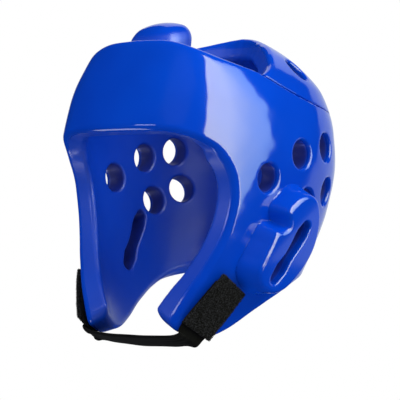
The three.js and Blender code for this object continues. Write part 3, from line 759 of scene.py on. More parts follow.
def surface_net(values, low, step):
    """Quads on the zero surface of a grid of distances, and their corners."""
    inside = values < 0
    total = np.zeros([n - 1 for n in values.shape], np.int8)
    window = {}
    for corner in [(i, j, k) for i in (0, 1) for j in (0, 1) for k in (0, 1)]:
        window[corner] = tuple(slice(c, n - 1 + c) for c, n in zip(corner, values.shape))
        total += inside[window[corner]]
    cells = np.argwhere((total > 0) & (total < 8))
    number = np.full(total.shape, -1, np.int32)
    number[tuple(cells.T)] = np.arange(len(cells))
    place, hits = np.zeros((len(cells), 3)), np.zeros(len(cells))
    for corner, axis in EDGES:
        start = cells + corner
        stop = start.copy()
        stop[:, axis] += 1
        a, b = values[tuple(start.T)], values[tuple(stop.T)]
        cross = (a < 0) != (b < 0)
        t = np.where(cross, a / np.where(cross, a - b, 1), 0)
        spot = start.astype(float)
        spot[:, axis] += t
        place[cross] += spot[cross]
        hits += cross
    place = low + step * place / np.maximum(hits, 1)[:, None]
    quads = []
    for axis in range(3):
        first = [slice(1, -1)] * 3
        first[axis] = slice(0, -1)
        second = list(first)
        second[axis] = slice(1, None)
        a, b = inside[tuple(first)], inside[tuple(second)]
        spots = np.argwhere(a != b)
        leaving = a[tuple(spots.T)]
        spots[:, [x for x in range(3) if x != axis]] += 1
        u, v = (axis + 1) % 3, (axis + 2) % 3
        ring = []
        for du, dv in ((-1, -1), (0, -1), (0, 0), (-1, 0)):
            cell = spots.copy()
            cell[:, u] += du
            cell[:, v] += dv
            ring.append(number[tuple(cell.T)])
        quad = np.stack(ring, -1)
        quad[~leaving] = quad[~leaving][:, ::-1]
        quads.append(quad)
    return place, np.vstack(quads)


def settle(place, field, rounds, limit):
    """Moves corners onto the zero surface, and returns them with the outward directions there."""
    for _ in range(rounds):
        here = field(place, True)
        size = np.maximum(np.sum(here.slope * here.slope, 1), 0.05)
        move = -(here.value / size)[:, None] * here.slope
        length = np.linalg.norm(move, axis=1, keepdims=True)
        place = place + move * np.minimum(1, limit / np.maximum(length, 1e-9))
    return place, unit(field(place, True).slope)


def relaxed(place, quads):
    """Corners drawn toward the middle of their neighbours."""
    total, count = np.zeros_like(place), np.zeros(len(place))
    for k in range(4):
        a, b = quads[:, k], quads[:, (k + 1) % 4]
        for x, y in ((a, b), (b, a)):
            for axis in range(3):
                total[:, axis] += np.bincount(x, place[y, axis], len(place))
            count += np.bincount(x, minlength=len(place))
    return 0.5 * place + 0.5 * total / np.maximum(count, 1)[:, None]


def mirrored_points(points):
    """The points, brought to the left side."""
    return np.abs(points[:, 0:1]) * (1, 0, 0) + points * (0, 1, 1)


def eased(value, low, high):
    """A smooth step from 0 at low to 1 at high."""
    share = np.clip((value - low) / (high - low), 0, 1)
    return share * share * (3 - 2 * share)


class Foam:
    """Everything the foam pieces share: the lattice, the bores and the guard's shape."""

    def __init__(self, settings):
        self.lattice = Lattice(settings.wave / METRES)
        self.guard = GuardShape()
        radius = settings.vent / METRES / 2
        self.shell_vents = [Bore(turn, share, radius) for turn, share in SHELL_VENTS]
        self.panel_vents = [Bore(turn, share, radius) for turn, share in PANEL_VENTS]
        self.rim, self.brow, self.seam = (x / METRES for x in (settings.rim, settings.brow, settings.seam))

    def taper(self, points, wide):
        """The upper rim's rounding, which narrows to the seam's at the crown opening's corner."""
        turn = np.degrees(np.arctan2(points[:, 0], -points[:, 1]))
        return wide + (self.seam - wide) * eased(turn, *TAPER_TURNS)

    def wall(self, near, cuts):
        """The wall between both faces, with each cut's own rounding at the outer and inner face."""
        outer, inner = near["form"], -(near["form"] + FOAM_WALL)
        for cut, outside, inside in cuts:
            outer = outer.both(cut, outside)
            inner = inner.both(cut, inside)
        return outer.both(inner)

    def sunk(self, points):
        """How far points lie down a hole or on the inner side, from 0 to 1; it sets the duller gloss and the
        painted shade in the holes.
        """
        points = mirrored_points(points)
        form = self.lattice.read(points, False)["form"].value
        across, rise = self.guard.local(points)
        slot = self.guard.slot.read(across)[0]
        hole = (1 - eased(slot, *SLOT_EDGE)) * eased(GUARD_HEIGHT - rise, *SLOT_DEPTH) * (rise > -SLOT_BACK)
        for vent in self.shell_vents + self.panel_vents:
            inside = 1 - eased(vent.read(points, False).value, *VENT_EDGE)
            hole = np.maximum(hole, inside * eased(-form, *VENT_DEPTH))
        return np.maximum(INSIDE_SHARE * eased(-form, *INSIDE_DEPTH), hole)

    def shell(self, points, slopes):
        near = self.lattice.read(points, slopes)
        foot = (-near["face"]).both(-near["lower"], JAW_ROUND)
        cuts = [
            (-near["upper"], self.taper(points, self.brow), self.taper(points, self.rim)),
            (foot, self.rim, self.rim),
            (-self.guard.opening(points, slopes), SLOT_ROUND, SLOT_ROUND),
        ]
        cuts += [(-vent.read(points, slopes), VENT_ROUND, VENT_ROUND) for vent in self.shell_vents]
        return self.wall(near, cuts)

    def lifted(self, points, near, slopes):
        """The crown panel's faces, raised a little in the middle of the opening's rear rim."""
        form, edge = near["form"], near["panel"]
        back, aside = np.clip(edge.value / LIP_REACH, 0, 1), np.clip(points[:, 0] / LIP_WIDTH, 0, 1)
        low, high = (1 - share * share * (3 - 2 * share) for share in (back, aside))
        if not slopes:
            return Distance(form.value - LIP * low * high)
        down, across = -6 * back * (1 - back) / LIP_REACH, -6 * aside * (1 - aside) / LIP_WIDTH
        lean = (down * high)[:, None] * edge.slope + (low * across)[:, None] * (1, 0, 0)
        return Distance(form.value - LIP * low * high, form.slope - LIP * lean)

    def panel(self, points, slopes):
        near = self.lattice.read(points, slopes)
        near["form"] = self.lifted(points, near, slopes)
        cuts = [
            (near["upper"] + PANEL_GAP, self.seam, self.seam),
            (-near["panel"], self.rim, self.rim),
        ]
        cuts += [(-vent.read(points, slopes), VENT_ROUND, VENT_ROUND) for vent in self.panel_vents]
        return self.wall(near, cuts)

    def ear_guard(self, points, slopes):
        near = self.lattice.read(points, slopes)
        block = self.guard.block(points, near["form"], slopes)
        block = block.both(-(near["form"] + GUARD_GAP), GUARD_BACK_ROUND)
        return block.both(-self.guard.opening(points, slopes), GUARD_SLOT_ROUND)

    def tongue(self, points, slopes):
        """A domed pad with a squarish round outline, and the low neck that carries it."""
        near = self.lattice.read(points, slopes)
        form = near["form"]
        half = np.array((TONGUE_WIDTH / 2, TONGUE_LENGTH / 2)) - TONGUE_INSET
        flat = points[:, :2] + (0, FRONT_REACH * TONGUE_PLACE + TONGUE_AHEAD)
        share = np.abs(flat / half)
        size = np.maximum(np.sum(share ** TONGUE_SQUARE, 1) ** (1 / TONGUE_SQUARE), 1e-4)
        pull = np.sign(flat) * (share / size[:, None]) ** (TONGUE_SQUARE - 1) / half
        pull = np.concatenate([pull, np.zeros((len(points), 1))], 1)
        steep = np.maximum(np.linalg.norm(pull, axis=1), 1e-6)
        side = Distance((size - 1) / steep, pull / steep[:, None] if slopes else None)
        top = Distance(form.value + TONGUE_SINK + TONGUE_DOME * size ** 2 - TONGUE_RISE,
                       form.slope + (2 * TONGUE_DOME * size)[:, None] * pull if slopes else None)
        floor = -(form + FOAM_WALL)
        pad = top.both(side, TONGUE_ROUND).both(floor, TONGUE_FOOT_ROUND)
        width = Distance(np.abs(points[:, 0]) - NECK_WIDTH / 2,
                         np.sign(points[:, :1]) * np.array((1.0, 0, 0)) if slopes else None)
        begin = Distance(points[:, 1] + FRONT_REACH * TONGUE_PLACE,
                         np.broadcast_to((0, 1.0, 0), points.shape) if slopes else None)
        neck = (form + TONGUE_SINK + TONGUE_WALL - NECK_WALL).both(width, NECK_ROUND)
        neck = neck.both(floor, NECK_FOOT_ROUND).both(begin)
        return pad.either(neck, NECK_JOIN).both(near["upper"] + PANEL_GAP, NECK_END_ROUND)


def foam_mesh(name, field, sunk, low, high, step, limit):
    """A closed mesh on a field's zero surface, in metres, with that surface's own normals."""
    low, high = np.array(low, float), np.array(high, float)
    count = np.ceil((high - low) / step).astype(int) + 1
    values = np.empty(count, np.float32)
    axes = [low[a] + step * np.arange(count[a]) for a in range(3)]
    slab, outside = 12, 0.5
    for i in range(0, count[0], slab):
        block = np.stack(np.meshgrid(axes[0][i:i + slab], axes[1], axes[2], indexing="ij"), -1)
        flat = block.reshape(-1, 3)
        values[i:i + slab] = field(flat, False).value.reshape(block.shape[:3])
    for axis in range(3):
        edge = np.moveaxis(values, axis, 0)
        edge[0] = np.maximum(edge[0], outside)
        edge[-1] = np.maximum(edge[-1], outside)
    place, quads = surface_net(values, low, step)
    for _ in range(2):
        place, _ = settle(relaxed(place, quads), field, 1, step * 0.6)
    place, _ = settle(place, field, 2, step * 0.6)
    mesh = bpy.data.meshes.new(name)
    mesh.from_pydata((place * METRES).tolist(), [], quads.tolist())
    mesh.update()
    if len(quads) * 2 > limit:
        mesh = thinned(mesh, limit / (len(quads) * 2))
    place = np.empty(len(mesh.vertices) * 3)
    mesh.vertices.foreach_get("co", place)
    place, normals = settle(place.reshape(-1, 3) / METRES, field, 2, step * 0.4)
    mesh.vertices.foreach_set("co", (place * METRES).ravel())
    mesh.attributes.new("sunk", "FLOAT", "POINT").data.foreach_set("value", sunk(place))
    mesh.update()
    return mesh, normals


def thinned(mesh, ratio):
    """The mesh with a share of its triangles."""
    holder = bpy.data.objects.new(mesh.name + "_fine", mesh)
    bpy.context.scene.collection.objects.link(holder)
    thin = holder.modifiers.new("thin", "DECIMATE")
    thin.ratio = ratio
    depsgraph = bpy.context.evaluated_depsgraph_get()
    made = bpy.data.meshes.new_from_object(holder.evaluated_get(depsgraph))
    made.name = mesh.name
    bpy.data.objects.remove(holder)
    return made


def show(name, mesh, node, material, normals=None):
    """Puts a mesh in the scene as the piece that stands for a node."""
    piece = bpy.data.objects.new(name, mesh)
    bpy.context.scene.collection.objects.link(piece)
    mesh.materials.clear()
    mesh.materials.append(material)
    mesh.polygons.foreach_set("use_smooth", [True] * len(mesh.polygons))
    if normals is not None:
        mesh.normals_split_custom_set_from_vertices(normals.tolist())
    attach(piece, "root")
    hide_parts(node)
    return piece


def flipped(mesh, normals, name):
    """A mirror image of a mesh and its normals for the right side."""
    other = mesh.copy()
    other.name = name
    place = np.empty(len(other.vertices) * 3)
    other.vertices.foreach_get("co", place)
    place = place.reshape(-1, 3) * (-1, 1, 1)
    other.vertices.foreach_set("co", place.ravel())
    other.flip_normals()
    other.update()
    return other, None if normals is None else normals * (-1, 1, 1)


# Materials

def new_material(name):
    """A material with its nodes, its links and its shader."""
    material = bpy.data.materials.new(name)
    material.use_nodes = True
    nodes, links = material.node_tree.nodes, material.node_tree.links
    return material, nodes, links, nodes["Principled BSDF"]


def set_sockets(node, values):
    """Sets a node's own sockets by their names."""
    for name, value in values.items():
        node.inputs[name].default_value = value


def noise(nodes, links, vector, scale, detail, rough=0.5):
    """Fine grained noise at a scale to the metre."""
    node = nodes.new("ShaderNodeTexNoise")
    set_sockets(node, {"Scale": scale, "Detail": detail, "Roughness": rough})
    links.new(vector, node.inputs["Vector"])
    return node.outputs["Fac"]


def ramp(nodes, links, value, stops):
    """Colours that follow a value from stop to stop."""
    node = nodes.new("ShaderNodeValToRGB")
    elements = node.color_ramp.elements
    while len(elements) < len(stops):
        elements.new(0.5)
    for element, (place, colour) in zip(elements, stops):
        element.position = place
        element.color = (*colour, 1)
    links.new(value, node.inputs["Fac"])
    return node.outputs["Color"]


def bump(nodes, links, height, strength, distance, before=None):
    """A relief of a height in metres, on top of the one before it."""
    node = nodes.new("ShaderNodeBump")
    set_sockets(node, {"Strength": strength, "Distance": distance})
    links.new(height, node.inputs["Height"])
    if before is not None:
        links.new(before, node.inputs["Normal"])
    return node.outputs["Normal"]


def foam_material():
    """Glossy dipped skin with a faint orange peel, slow colour changes, duller hollows and painted shade
    that darkens the bores and the slot.
    """
    name = "dipped foam"
    if name in bpy.data.materials:
        return bpy.data.materials[name]
    settings = bpy.context.scene.headgear_foam
    material, nodes, links, shader = new_material(name)
    place = nodes.new("ShaderNodeTexCoord").outputs["Object"]
    cloud = noise(nodes, links, place, scale=9, detail=2)
    colour = ramp(nodes, links, cloud, [(0.35, settings.shade), (0.65, settings.colour)])
    depth = nodes.new("ShaderNodeAttribute")
    depth.attribute_name = "sunk"
    # Painted shade: the deeper a point lies in a bore or the slot, the darker its colour
    share = ramp(nodes, links, depth.outputs["Fac"], [(INSIDE_SHARE, (1, 1, 1)), (1, HOLE_SHADE_TINT)])
    hollow_shade = nodes.new("ShaderNodeMix")
    hollow_shade.data_type = "RGBA"
    hollow_shade.blend_type = "MULTIPLY"
    hollow_shade.inputs["Factor"].default_value = 1
    links.new(colour, hollow_shade.inputs[6])
    links.new(share, hollow_shade.inputs[7])
    links.new(hollow_shade.outputs[2], shader.inputs["Base Color"])
    smear = nodes.new("ShaderNodeMapRange")
    set_sockets(smear, {"To Min": settings.gloss, "To Max": settings.gloss + SMEAR})
    links.new(noise(nodes, links, place, scale=60, detail=3), smear.inputs["Value"])
    satin = nodes.new("ShaderNodeMath")
    satin.operation = "MULTIPLY_ADD"
    satin.inputs[1].default_value = SATIN
    links.new(depth.outputs["Fac"], satin.inputs[0])
    links.new(smear.outputs["Result"], satin.inputs[2])
    links.new(satin.outputs[0], shader.inputs["Roughness"])
    shader.inputs["IOR"].default_value = 1.56
    coarse = noise(nodes, links, place, scale=130, detail=2)
    fine = noise(nodes, links, place, scale=900, detail=1)
    peel = bump(nodes, links, coarse, strength=0.15, distance=0.0001)
    grain = bump(nodes, links, fine, strength=0.06, distance=0.00004, before=peel)
    links.new(grain, shader.inputs["Normal"])
    return material


def webbing_material():
    """Black knitted webbing with a fine diagonal rib."""
    settings = bpy.context.scene.headgear_strap
    material, nodes, links, shader = new_material("strap webbing")
    place = nodes.new("ShaderNodeUVMap")
    place.uv_map = "UVMap"
    weave = nodes.new("ShaderNodeTexWave")
    weave.wave_type = "BANDS"
    weave.bands_direction = "DIAGONAL"
    set_sockets(weave, {"Scale": 420, "Distortion": 1.2, "Detail": 1})
    links.new(place.outputs["UV"], weave.inputs["Vector"])
    coords = nodes.new("ShaderNodeTexCoord").outputs["Object"]
    worn = noise(nodes, links, coords, scale=70, detail=4)
    dark = tuple(settings.colour)
    rubbed = tuple(c * 2.2 for c in dark)
    links.new(ramp(nodes, links, worn, [(0.3, dark), (0.75, rubbed)]), shader.inputs["Base Color"])
    set_sockets(shader, {
        "Roughness": 0.9, "Specular IOR Level": 0.08, "Sheen Weight": 0.03, "Sheen Roughness": 0.4})
    rib = bump(nodes, links, weave.outputs["Fac"], strength=0.35, distance=0.0002)
    creased = bump(nodes, links, worn, strength=0.2, distance=0.0006, before=rib)
    links.new(creased, shader.inputs["Normal"])
    return material


def pile_material():
    """Black looped pile with lighter fibre tips."""
    name = "fastener pile"
    if name in bpy.data.materials:
        return bpy.data.materials[name]
    settings = bpy.context.scene.headgear_strap
    material, nodes, links, shader = new_material(name)
    coords = nodes.new("ShaderNodeTexCoord").outputs["Object"]
    fleck = noise(nodes, links, coords, scale=800, detail=3, rough=0.7)
    dark = tuple(settings.pile)
    tips = tuple(c * 24 for c in dark)
    links.new(ramp(nodes, links, fleck, [(0.47, dark), (0.6, tips)]), shader.inputs["Base Color"])
    set_sockets(shader, {"Roughness": 0.9, "Specular IOR Level": 0.08, "Sheen Weight": 0.04})
    links.new(bump(nodes, links, fleck, strength=0.7, distance=0.0008), shader.inputs["Normal"])
    return material


# Strap and fasteners

def arm_stations(count):
    """Points, outward, sideways and onward directions along the strap's line on a cheek arm."""
    line = edge_line(STRAP_LINE, count + 1)
    point = face_point(line[:, 0], line[:, 1])
    normal = face_normal(line[:, 0], line[:, 1])
    run = np.empty_like(point)
    run[1:-1] = point[2:] - point[:-2]
    run[0], run[-1] = point[1] - point[0], point[-1] - point[-2]
    run = unit(run)
    return point, normal, unit(np.cross(run, normal)), run


def chin_stations(tip, across, run, count):
    """The band's way from an arm's tip to the middle under the chin, its front edge tilted up."""
    middle = np.array((0, tip[1] - STRAP_SWEEP, tip[2] - STRAP_SAG))
    leave = tip + run * STRAP_TURN
    handle = middle + (tip[0] * STRAP_FLAT, 0, 0)
    t = np.linspace(0, 1, count + 1)[1:, None]
    point = (1 - t) ** 3 * tip + 3 * (1 - t) ** 2 * t * leave
    point = point + 3 * (1 - t) * t * t * handle + t ** 3 * middle
    lead = 3 * (1 - t) ** 2 * (leave - tip) + 6 * (1 - t) * t * (handle - leave)
    lead = unit(lead + 3 * t * t * (middle - handle))
    tilt = math.radians(STRAP_TILT)
    ahead = np.array((0, -math.cos(tilt), math.sin(tilt)))
    share = eased(t, 0, STRAP_UNTWIST)
    side = across * (1 - share) + ahead * share
    side = unit(side - np.sum(side * lead, 1, keepdims=True) * lead)
    return point, unit(np.cross(side, lead)), side


def band_mesh(name, point, normal, across, width, thickness, lift, fold=None, flat=22, gather=1.0):
    """A band swept through stations, with rounded edges and a map in metres."""
    edge = thickness / 2
    turn = np.linspace(-math.pi / 2, math.pi / 2, 7)
    reach = np.linspace(-1, 1, flat)
    half = width / 2 - edge
    top = np.stack([reach * half, np.full(flat, thickness)], -1)
    right = np.stack([half + edge * np.cos(turn[::-1]), edge + edge * np.sin(turn[::-1])], -1)
    low = np.stack([reach[::-1] * half, np.zeros(flat)], -1)
    left = np.stack([-half - edge * np.cos(turn), edge + edge * np.sin(turn)], -1)
    profile = np.vstack([top, right[1:-1], low, left[1:-1]])
    rise = np.zeros((len(point), len(profile))) if fold is None else fold(profile[:, 0] / width)
    gather = np.broadcast_to(gather, len(point))[:, None, None]
    place = (point[:, None] + across[:, None] * profile[None, :, :1] * gather
             + normal[:, None] * (lift + profile[None, :, 1:] + rise[..., None]))
    rows, count = place.shape[:2]
    run = np.concatenate([[0], np.cumsum(np.linalg.norm(np.diff(point, axis=0), axis=1))])
    verts = place.reshape(-1, 3)
    faces, maps = [], []
    girth = np.concatenate([[0], np.cumsum(np.linalg.norm(np.diff(profile, axis=0), axis=1))])
    girth = np.append(girth, girth[-1] + np.linalg.norm(profile[0] - profile[-1]))
    for i in range(rows - 1):
        for k in range(count):
            n = (k + 1) % count
            faces.append((i * count + k, (i + 1) * count + k, (i + 1) * count + n, i * count + n))
            here, there = run[i], run[i + 1]
            maps.append([(here, girth[k]), (there, girth[k]), (there, girth[k + 1]), (here, girth[k + 1])])
    ends = [verts]
    for row, side in ((0, 1), (rows - 1, -1)):
        middle = len(np.vstack(ends))
        ends.append(place[row].mean(0)[None])
        for k in range(count):
            n = (k + 1) % count
            ring = (row * count + k, row * count + n, middle)
            faces.append(ring if side > 0 else ring[::-1])
            maps.append([(run[row], girth[k])] * 3)
    mesh = bpy.data.meshes.new(name)
    mesh.from_pydata((np.vstack(ends) * METRES).tolist(), [], faces)
    layer = mesh.uv_layers.new(name="UVMap")
    flat_map = np.array([c for ring in maps for c in ring]) * METRES
    layer.data.foreach_set("uv", flat_map.ravel())
    mesh.update()
    return mesh


def outward(mesh):
    """Turns a closed mesh's faces outward."""
    mesh.calc_loop_triangles()
    place = np.empty(len(mesh.vertices) * 3)
    mesh.vertices.foreach_get("co", place)
    place = place.reshape(-1, 3)
    tris = np.empty(len(mesh.loop_triangles) * 3, np.int32)
    mesh.loop_triangles.foreach_get("vertices", tris)
    a, b, c = (place[tris.reshape(-1, 3)[:, k]] for k in range(3))
    if np.sum(a * np.cross(b, c)) < 0:
        mesh.flip_normals()
        mesh.update()
    return mesh


def pile_tree(material, density, size):
    """Scatters small standing fibre loops over a piece's outer face."""
    tree = bpy.data.node_groups.new("fastener loops", "GeometryNodeTree")
    face = tree.interface
    face.new_socket("Geometry", in_out="INPUT", socket_type="NodeSocketGeometry")
    many = face.new_socket("Density", in_out="INPUT", socket_type="NodeSocketFloat")
    wide = face.new_socket("Loop width", in_out="INPUT", socket_type="NodeSocketFloat")
    wire = face.new_socket("Fibre radius", in_out="INPUT", socket_type="NodeSocketFloat")
    face.new_socket("Geometry", in_out="OUTPUT", socket_type="NodeSocketGeometry")
    many.default_value, wide.default_value, wire.default_value = density, size, size * FIBRE_SHARE
    new, link = tree.nodes.new, tree.links.new
    start, end = new("NodeGroupInput"), new("NodeGroupOutput")
    scatter = new("GeometryNodeDistributePointsOnFaces")
    scatter.distribute_method = "RANDOM"
    scatter.inputs["Seed"].default_value = 7
    link(start.outputs["Geometry"], scatter.inputs["Mesh"])
    link(start.outputs["Density"], scatter.inputs["Density"])
    arc = new("GeometryNodeCurveArc")
    sweep = math.radians(LOOP_SWEEP)
    set_sockets(arc, {"Resolution": 6, "Start Angle": math.radians(LOOP_START), "Sweep Angle": sweep})
    half = new("ShaderNodeMath")
    half.operation = "MULTIPLY"
    half.inputs[1].default_value = 0.5
    link(start.outputs["Loop width"], half.inputs[0])
    link(half.outputs[0], arc.inputs["Radius"])
    stand = new("GeometryNodeTransform")
    stand.inputs["Rotation"].default_value = (math.radians(90), 0, 0)
    link(arc.outputs["Curve"], stand.inputs["Geometry"])
    ring = new("GeometryNodeCurvePrimitiveCircle")
    ring.inputs["Resolution"].default_value = 3
    link(start.outputs["Fibre radius"], ring.inputs["Radius"])
    tube = new("GeometryNodeCurveToMesh")
    link(stand.outputs["Geometry"], tube.inputs["Curve"])
    link(ring.outputs["Curve"], tube.inputs["Profile Curve"])
    spin = new("FunctionNodeRandomValue")
    spin.data_type = "FLOAT_VECTOR"
    lean = LOOP_LEAN
    set_sockets(spin, {"Min": (-lean, -lean, 0), "Max": (lean, lean, LOOP_TURN), "Seed": 3})
    turn = new("FunctionNodeRotateRotation")
    turn.rotation_space = "LOCAL"
    link(scatter.outputs["Rotation"], turn.inputs["Rotation"])
    link(spin.outputs["Value"], turn.inputs["Rotate By"])
    grow = new("FunctionNodeRandomValue")
    grow.data_type = "FLOAT"
    grow.inputs[2].default_value, grow.inputs[3].default_value = LOOP_SIZES
    place = new("GeometryNodeInstanceOnPoints")
    link(scatter.outputs["Points"], place.inputs["Points"])
    link(tube.outputs["Mesh"], place.inputs["Instance"])
    link(turn.outputs["Rotation"], place.inputs["Rotation"])
    link(grow.outputs[1], place.inputs["Scale"])
    real = new("GeometryNodeRealizeInstances")
    link(place.outputs["Instances"], real.inputs["Geometry"])
    both = new("GeometryNodeJoinGeometry")
    link(start.outputs["Geometry"], both.inputs["Geometry"])
    link(real.outputs["Geometry"], both.inputs["Geometry"])
    paint = new("GeometryNodeSetMaterial")
    paint.inputs["Material"].default_value = material
    link(both.outputs["Geometry"], paint.inputs["Geometry"])
    link(paint.outputs["Geometry"], end.inputs["Geometry"])
    return tree, {"density": many.identifier, "width": wide.identifier, "wire": wire.identifier}


# Operators

shared = {}


def shared_foam():
    """What the foam pieces share, made once."""
    if "foam" not in shared:
        shared["foam"] = Foam(bpy.context.scene.headgear_foam)
    return shared["foam"]


def foam_piece(name, field):
    """A foam piece's mesh and normals, from its row of the table."""
    low, high, step, limit = FOAM_PIECES[name]
    return foam_mesh(name, field, shared_foam().sunk, low, high, step * (1.0), limit)


def show_foam(name, mesh, node, normals):
    """Puts a foam piece in the scene with the foam material."""
    show(name, mesh, node, foam_material(), normals)


def symmetric(field):
    """The same field on both sides of the part."""
    def both_sides(points, slopes):
        found = field(mirrored_points(points), slopes)
        if slopes:
            found.slope = found.slope * np.where(points[:, :1] < 0, (-1, 1, 1), (1, 1, 1))
        return found
    return both_sides


class HEADGEAR_OT_shell(bpy.types.Operator):
    """Builds the one-piece foam shell with its rims, vents and ear slots"""
    bl_idname = "headgear.shell"
    bl_label = "Foam shell"

    def execute(self, context):
        mesh, normals = foam_piece("foam_shell", symmetric(shared_foam().shell))
        show_foam("foam_shell", mesh, "shell", normals)
        return {"FINISHED"}


class HEADGEAR_OT_crown(bpy.types.Operator):
    """Builds the crown panel behind the opening"""
    bl_idname = "headgear.crown"
    bl_label = "Crown panel"

    def execute(self, context):
        mesh, normals = foam_piece("foam_crown_panel", symmetric(shared_foam().panel))
        show_foam("foam_crown_panel", mesh, "crown_panel", normals)
        return {"FINISHED"}


class HEADGEAR_OT_tongue(bpy.types.Operator):
    """Builds the rounded pad in the crown opening"""
    bl_idname = "headgear.tongue"
    bl_label = "Crown tongue"

    def execute(self, context):
        mesh, normals = foam_piece("foam_crown_tongue", symmetric(shared_foam().tongue))
        show_foam("foam_crown_tongue", mesh, "crown_tongue", normals)
        return {"FINISHED"}


class HEADGEAR_OT_guards(bpy.types.Operator):
    """Builds the raised ear guard on each side"""
    bl_idname = "headgear.guards"
    bl_label = "Ear guards"

    def execute(self, context):
        mesh, normals = foam_piece("foam_ear_guard_left", shared_foam().ear_guard)
        other, mirror = flipped(mesh, normals, "foam_ear_guard_right")
        show_foam("foam_ear_guard_left", mesh, "ear_guard_left", normals)
        show_foam("foam_ear_guard_right", other, "ear_guard_right", mirror)
        return {"FINISHED"}


class HEADGEAR_OT_strap(bpy.types.Operator):
    """Builds the chin band, from one cheek arm to the other"""
    bl_idname = "headgear.strap"
    bl_label = "Chin strap"

    def execute(self, context):
        settings = context.scene.headgear_strap
        point, normal, across, run = arm_stations(ARM_STEPS)
        chin = chin_stations(point[-1], across[-1], run[-1], CHIN_STEPS)
        half = [np.vstack([a[BAND_START:], b]) for a, b in zip((point, normal, across), chin)]
        flip = np.array((-1, 1, 1))
        whole = [np.vstack([a, a[-2::-1] * flip]) for a in half]
        length = np.concatenate([[0], np.cumsum(np.linalg.norm(np.diff(whole[0], axis=0), axis=1))])
        middle = length[-1] / 2
        turn = np.abs(length - middle) - (middle - length[len(point) - BAND_START]) + GATHER_SHIFT
        near = np.exp(-(turn / GATHER_REACH) ** 2)[:, None]

        def fold(share):
            aside, along = share[None], length[:, None]
            lines = sum(part * np.sin(aside * waves + along * pace) for part, waves, pace in FOLDS)
            slow = np.sin(along * SLOW_FOLD[1] + aside * SLOW_FOLD[0])
            return settings.fold / METRES * (near * (0.6 + 0.4 * lines) + 0.25 * (1 + slow))

        gather = 1 - GATHER * near[:, 0]
        mesh = band_mesh("chin_band", *whole, STRAP_WIDTH, STRAP_THICKNESS, CONTACT_GAP, fold, gather=gather)
        show("chin_band", outward(mesh), "chin_strap", webbing_material())
        return {"FINISHED"}


class HEADGEAR_OT_fasteners(bpy.types.Operator):
    """Builds the fastener tab on each cheek arm with its looped pile"""
    bl_idname = "headgear.fasteners"
    bl_label = "Fasteners"

    def execute(self, context):
        settings = context.scene.headgear_strap
        material = pile_material()
        point, normal, across, _ = arm_stations(ARM_STEPS)
        stations = [a[:int(ARM_STEPS * TAB_REACH)] for a in (point, normal, across)]
        rng = np.random.default_rng(5)
        flat, corners = 27, 10
        uneven = rng.normal(0, TAB_UNEVEN, (len(stations[0]), 2 * flat + corners))

        def fold(share):
            return np.abs(uneven[:, :len(share)]) * (np.abs(share) < 0.49)

        lift = STRAP_THICKNESS + TAB_LIFT * CONTACT_GAP
        mesh = outward(band_mesh("fastener_left", *stations, TAB_WIDTH, TAB_THICKNESS, lift, fold, flat))
        holder = bpy.data.objects.new("fastener_base", mesh)
        context.scene.collection.objects.link(holder)
        density = settings.density * PER_SQUARE_CENTIMETRE
        tree, sockets = pile_tree(material, density, settings.length)
        loops = holder.modifiers.new("loops", "NODES")
        loops.node_group = tree
        loops[sockets["density"]] = density
        loops[sockets["width"]] = settings.length
        loops[sockets["wire"]] = settings.length * FIBRE_SHARE
        depsgraph = context.evaluated_depsgraph_get()
        made = bpy.data.meshes.new_from_object(holder.evaluated_get(depsgraph))
        made.name = "fastener_left"
        holder.modifiers.remove(loops)
        bpy.data.objects.remove(holder)
        other, _ = flipped(made, None, "fastener_right")
        show("fastener_left", made, "fastener_tab_left", material)
        show("fastener_right", other, "fastener_tab_right", material)
        return {"FINISHED"}


def direction(turn, rise):
    """A direction from the middle of the part, in degrees from its front to its left, and upward."""
    turn, rise = math.radians(turn), math.radians(rise)
    return Vector((math.sin(turn) * math.cos(rise), -math.cos(turn) * math.cos(rise), math.sin(rise)))


def panel_material(name, strength, fade):
    """An emitter whose colour changes from its first side to its last."""
    material = bpy.data.materials.new(name)
    material.use_nodes = True
    nodes, links = material.node_tree.nodes, material.node_tree.links
    nodes.clear()
    place = nodes.new("ShaderNodeUVMap")
    place.uv_map = "UVMap"
    split = nodes.new("ShaderNodeSeparateXYZ")
    links.new(place.outputs["UV"], split.inputs["Vector"])
    shade = ramp(nodes, links, split.outputs["X"], fade)
    glow = nodes.new("ShaderNodeEmission")
    glow.inputs["Strength"].default_value = strength
    links.new(shade, glow.inputs["Color"])
    out = nodes.new("ShaderNodeOutputMaterial")
    links.new(glow.outputs["Emission"], out.inputs["Surface"])
    return material


def reflector(name, outline, reach, strength, fade):
    """A curved bright panel that only shows in the gloss, from rows of rise, first and last turn."""
    columns, rows = PANEL_COLUMNS, PANEL_ROWS
    levels, firsts, lasts = np.array(outline, float).T
    rises = np.linspace(levels[0], levels[-1], rows + 1)
    first, last = np.interp(rises, levels, firsts), np.interp(rises, levels, lasts)
    verts, faces, maps = [], [], []
    for j in range(rows + 1):
        for i in range(columns + 1):
            verts.append(direction(first[j] + (last[j] - first[j]) * i / columns, rises[j]) * reach)
    for j in range(rows):
        for i in range(columns):
            k = j * (columns + 1) + i
            faces.append((k, k + columns + 1, k + columns + 2, k + 1))
            maps += [(i / columns, j / rows), (i / columns, (j + 1) / rows),
                     ((i + 1) / columns, (j + 1) / rows), ((i + 1) / columns, j / rows)]
    mesh = bpy.data.meshes.new(name)
    mesh.from_pydata(verts, [], faces)
    mesh.uv_layers.new(name="UVMap").data.foreach_set("uv", np.array(maps).ravel())
    mesh.materials.append(panel_material(name, strength, fade))
    obj = bpy.data.objects.new(name, mesh)
    bpy.context.scene.collection.objects.link(obj)
    obj.visible_camera = obj.visible_diffuse = obj.visible_shadow = False


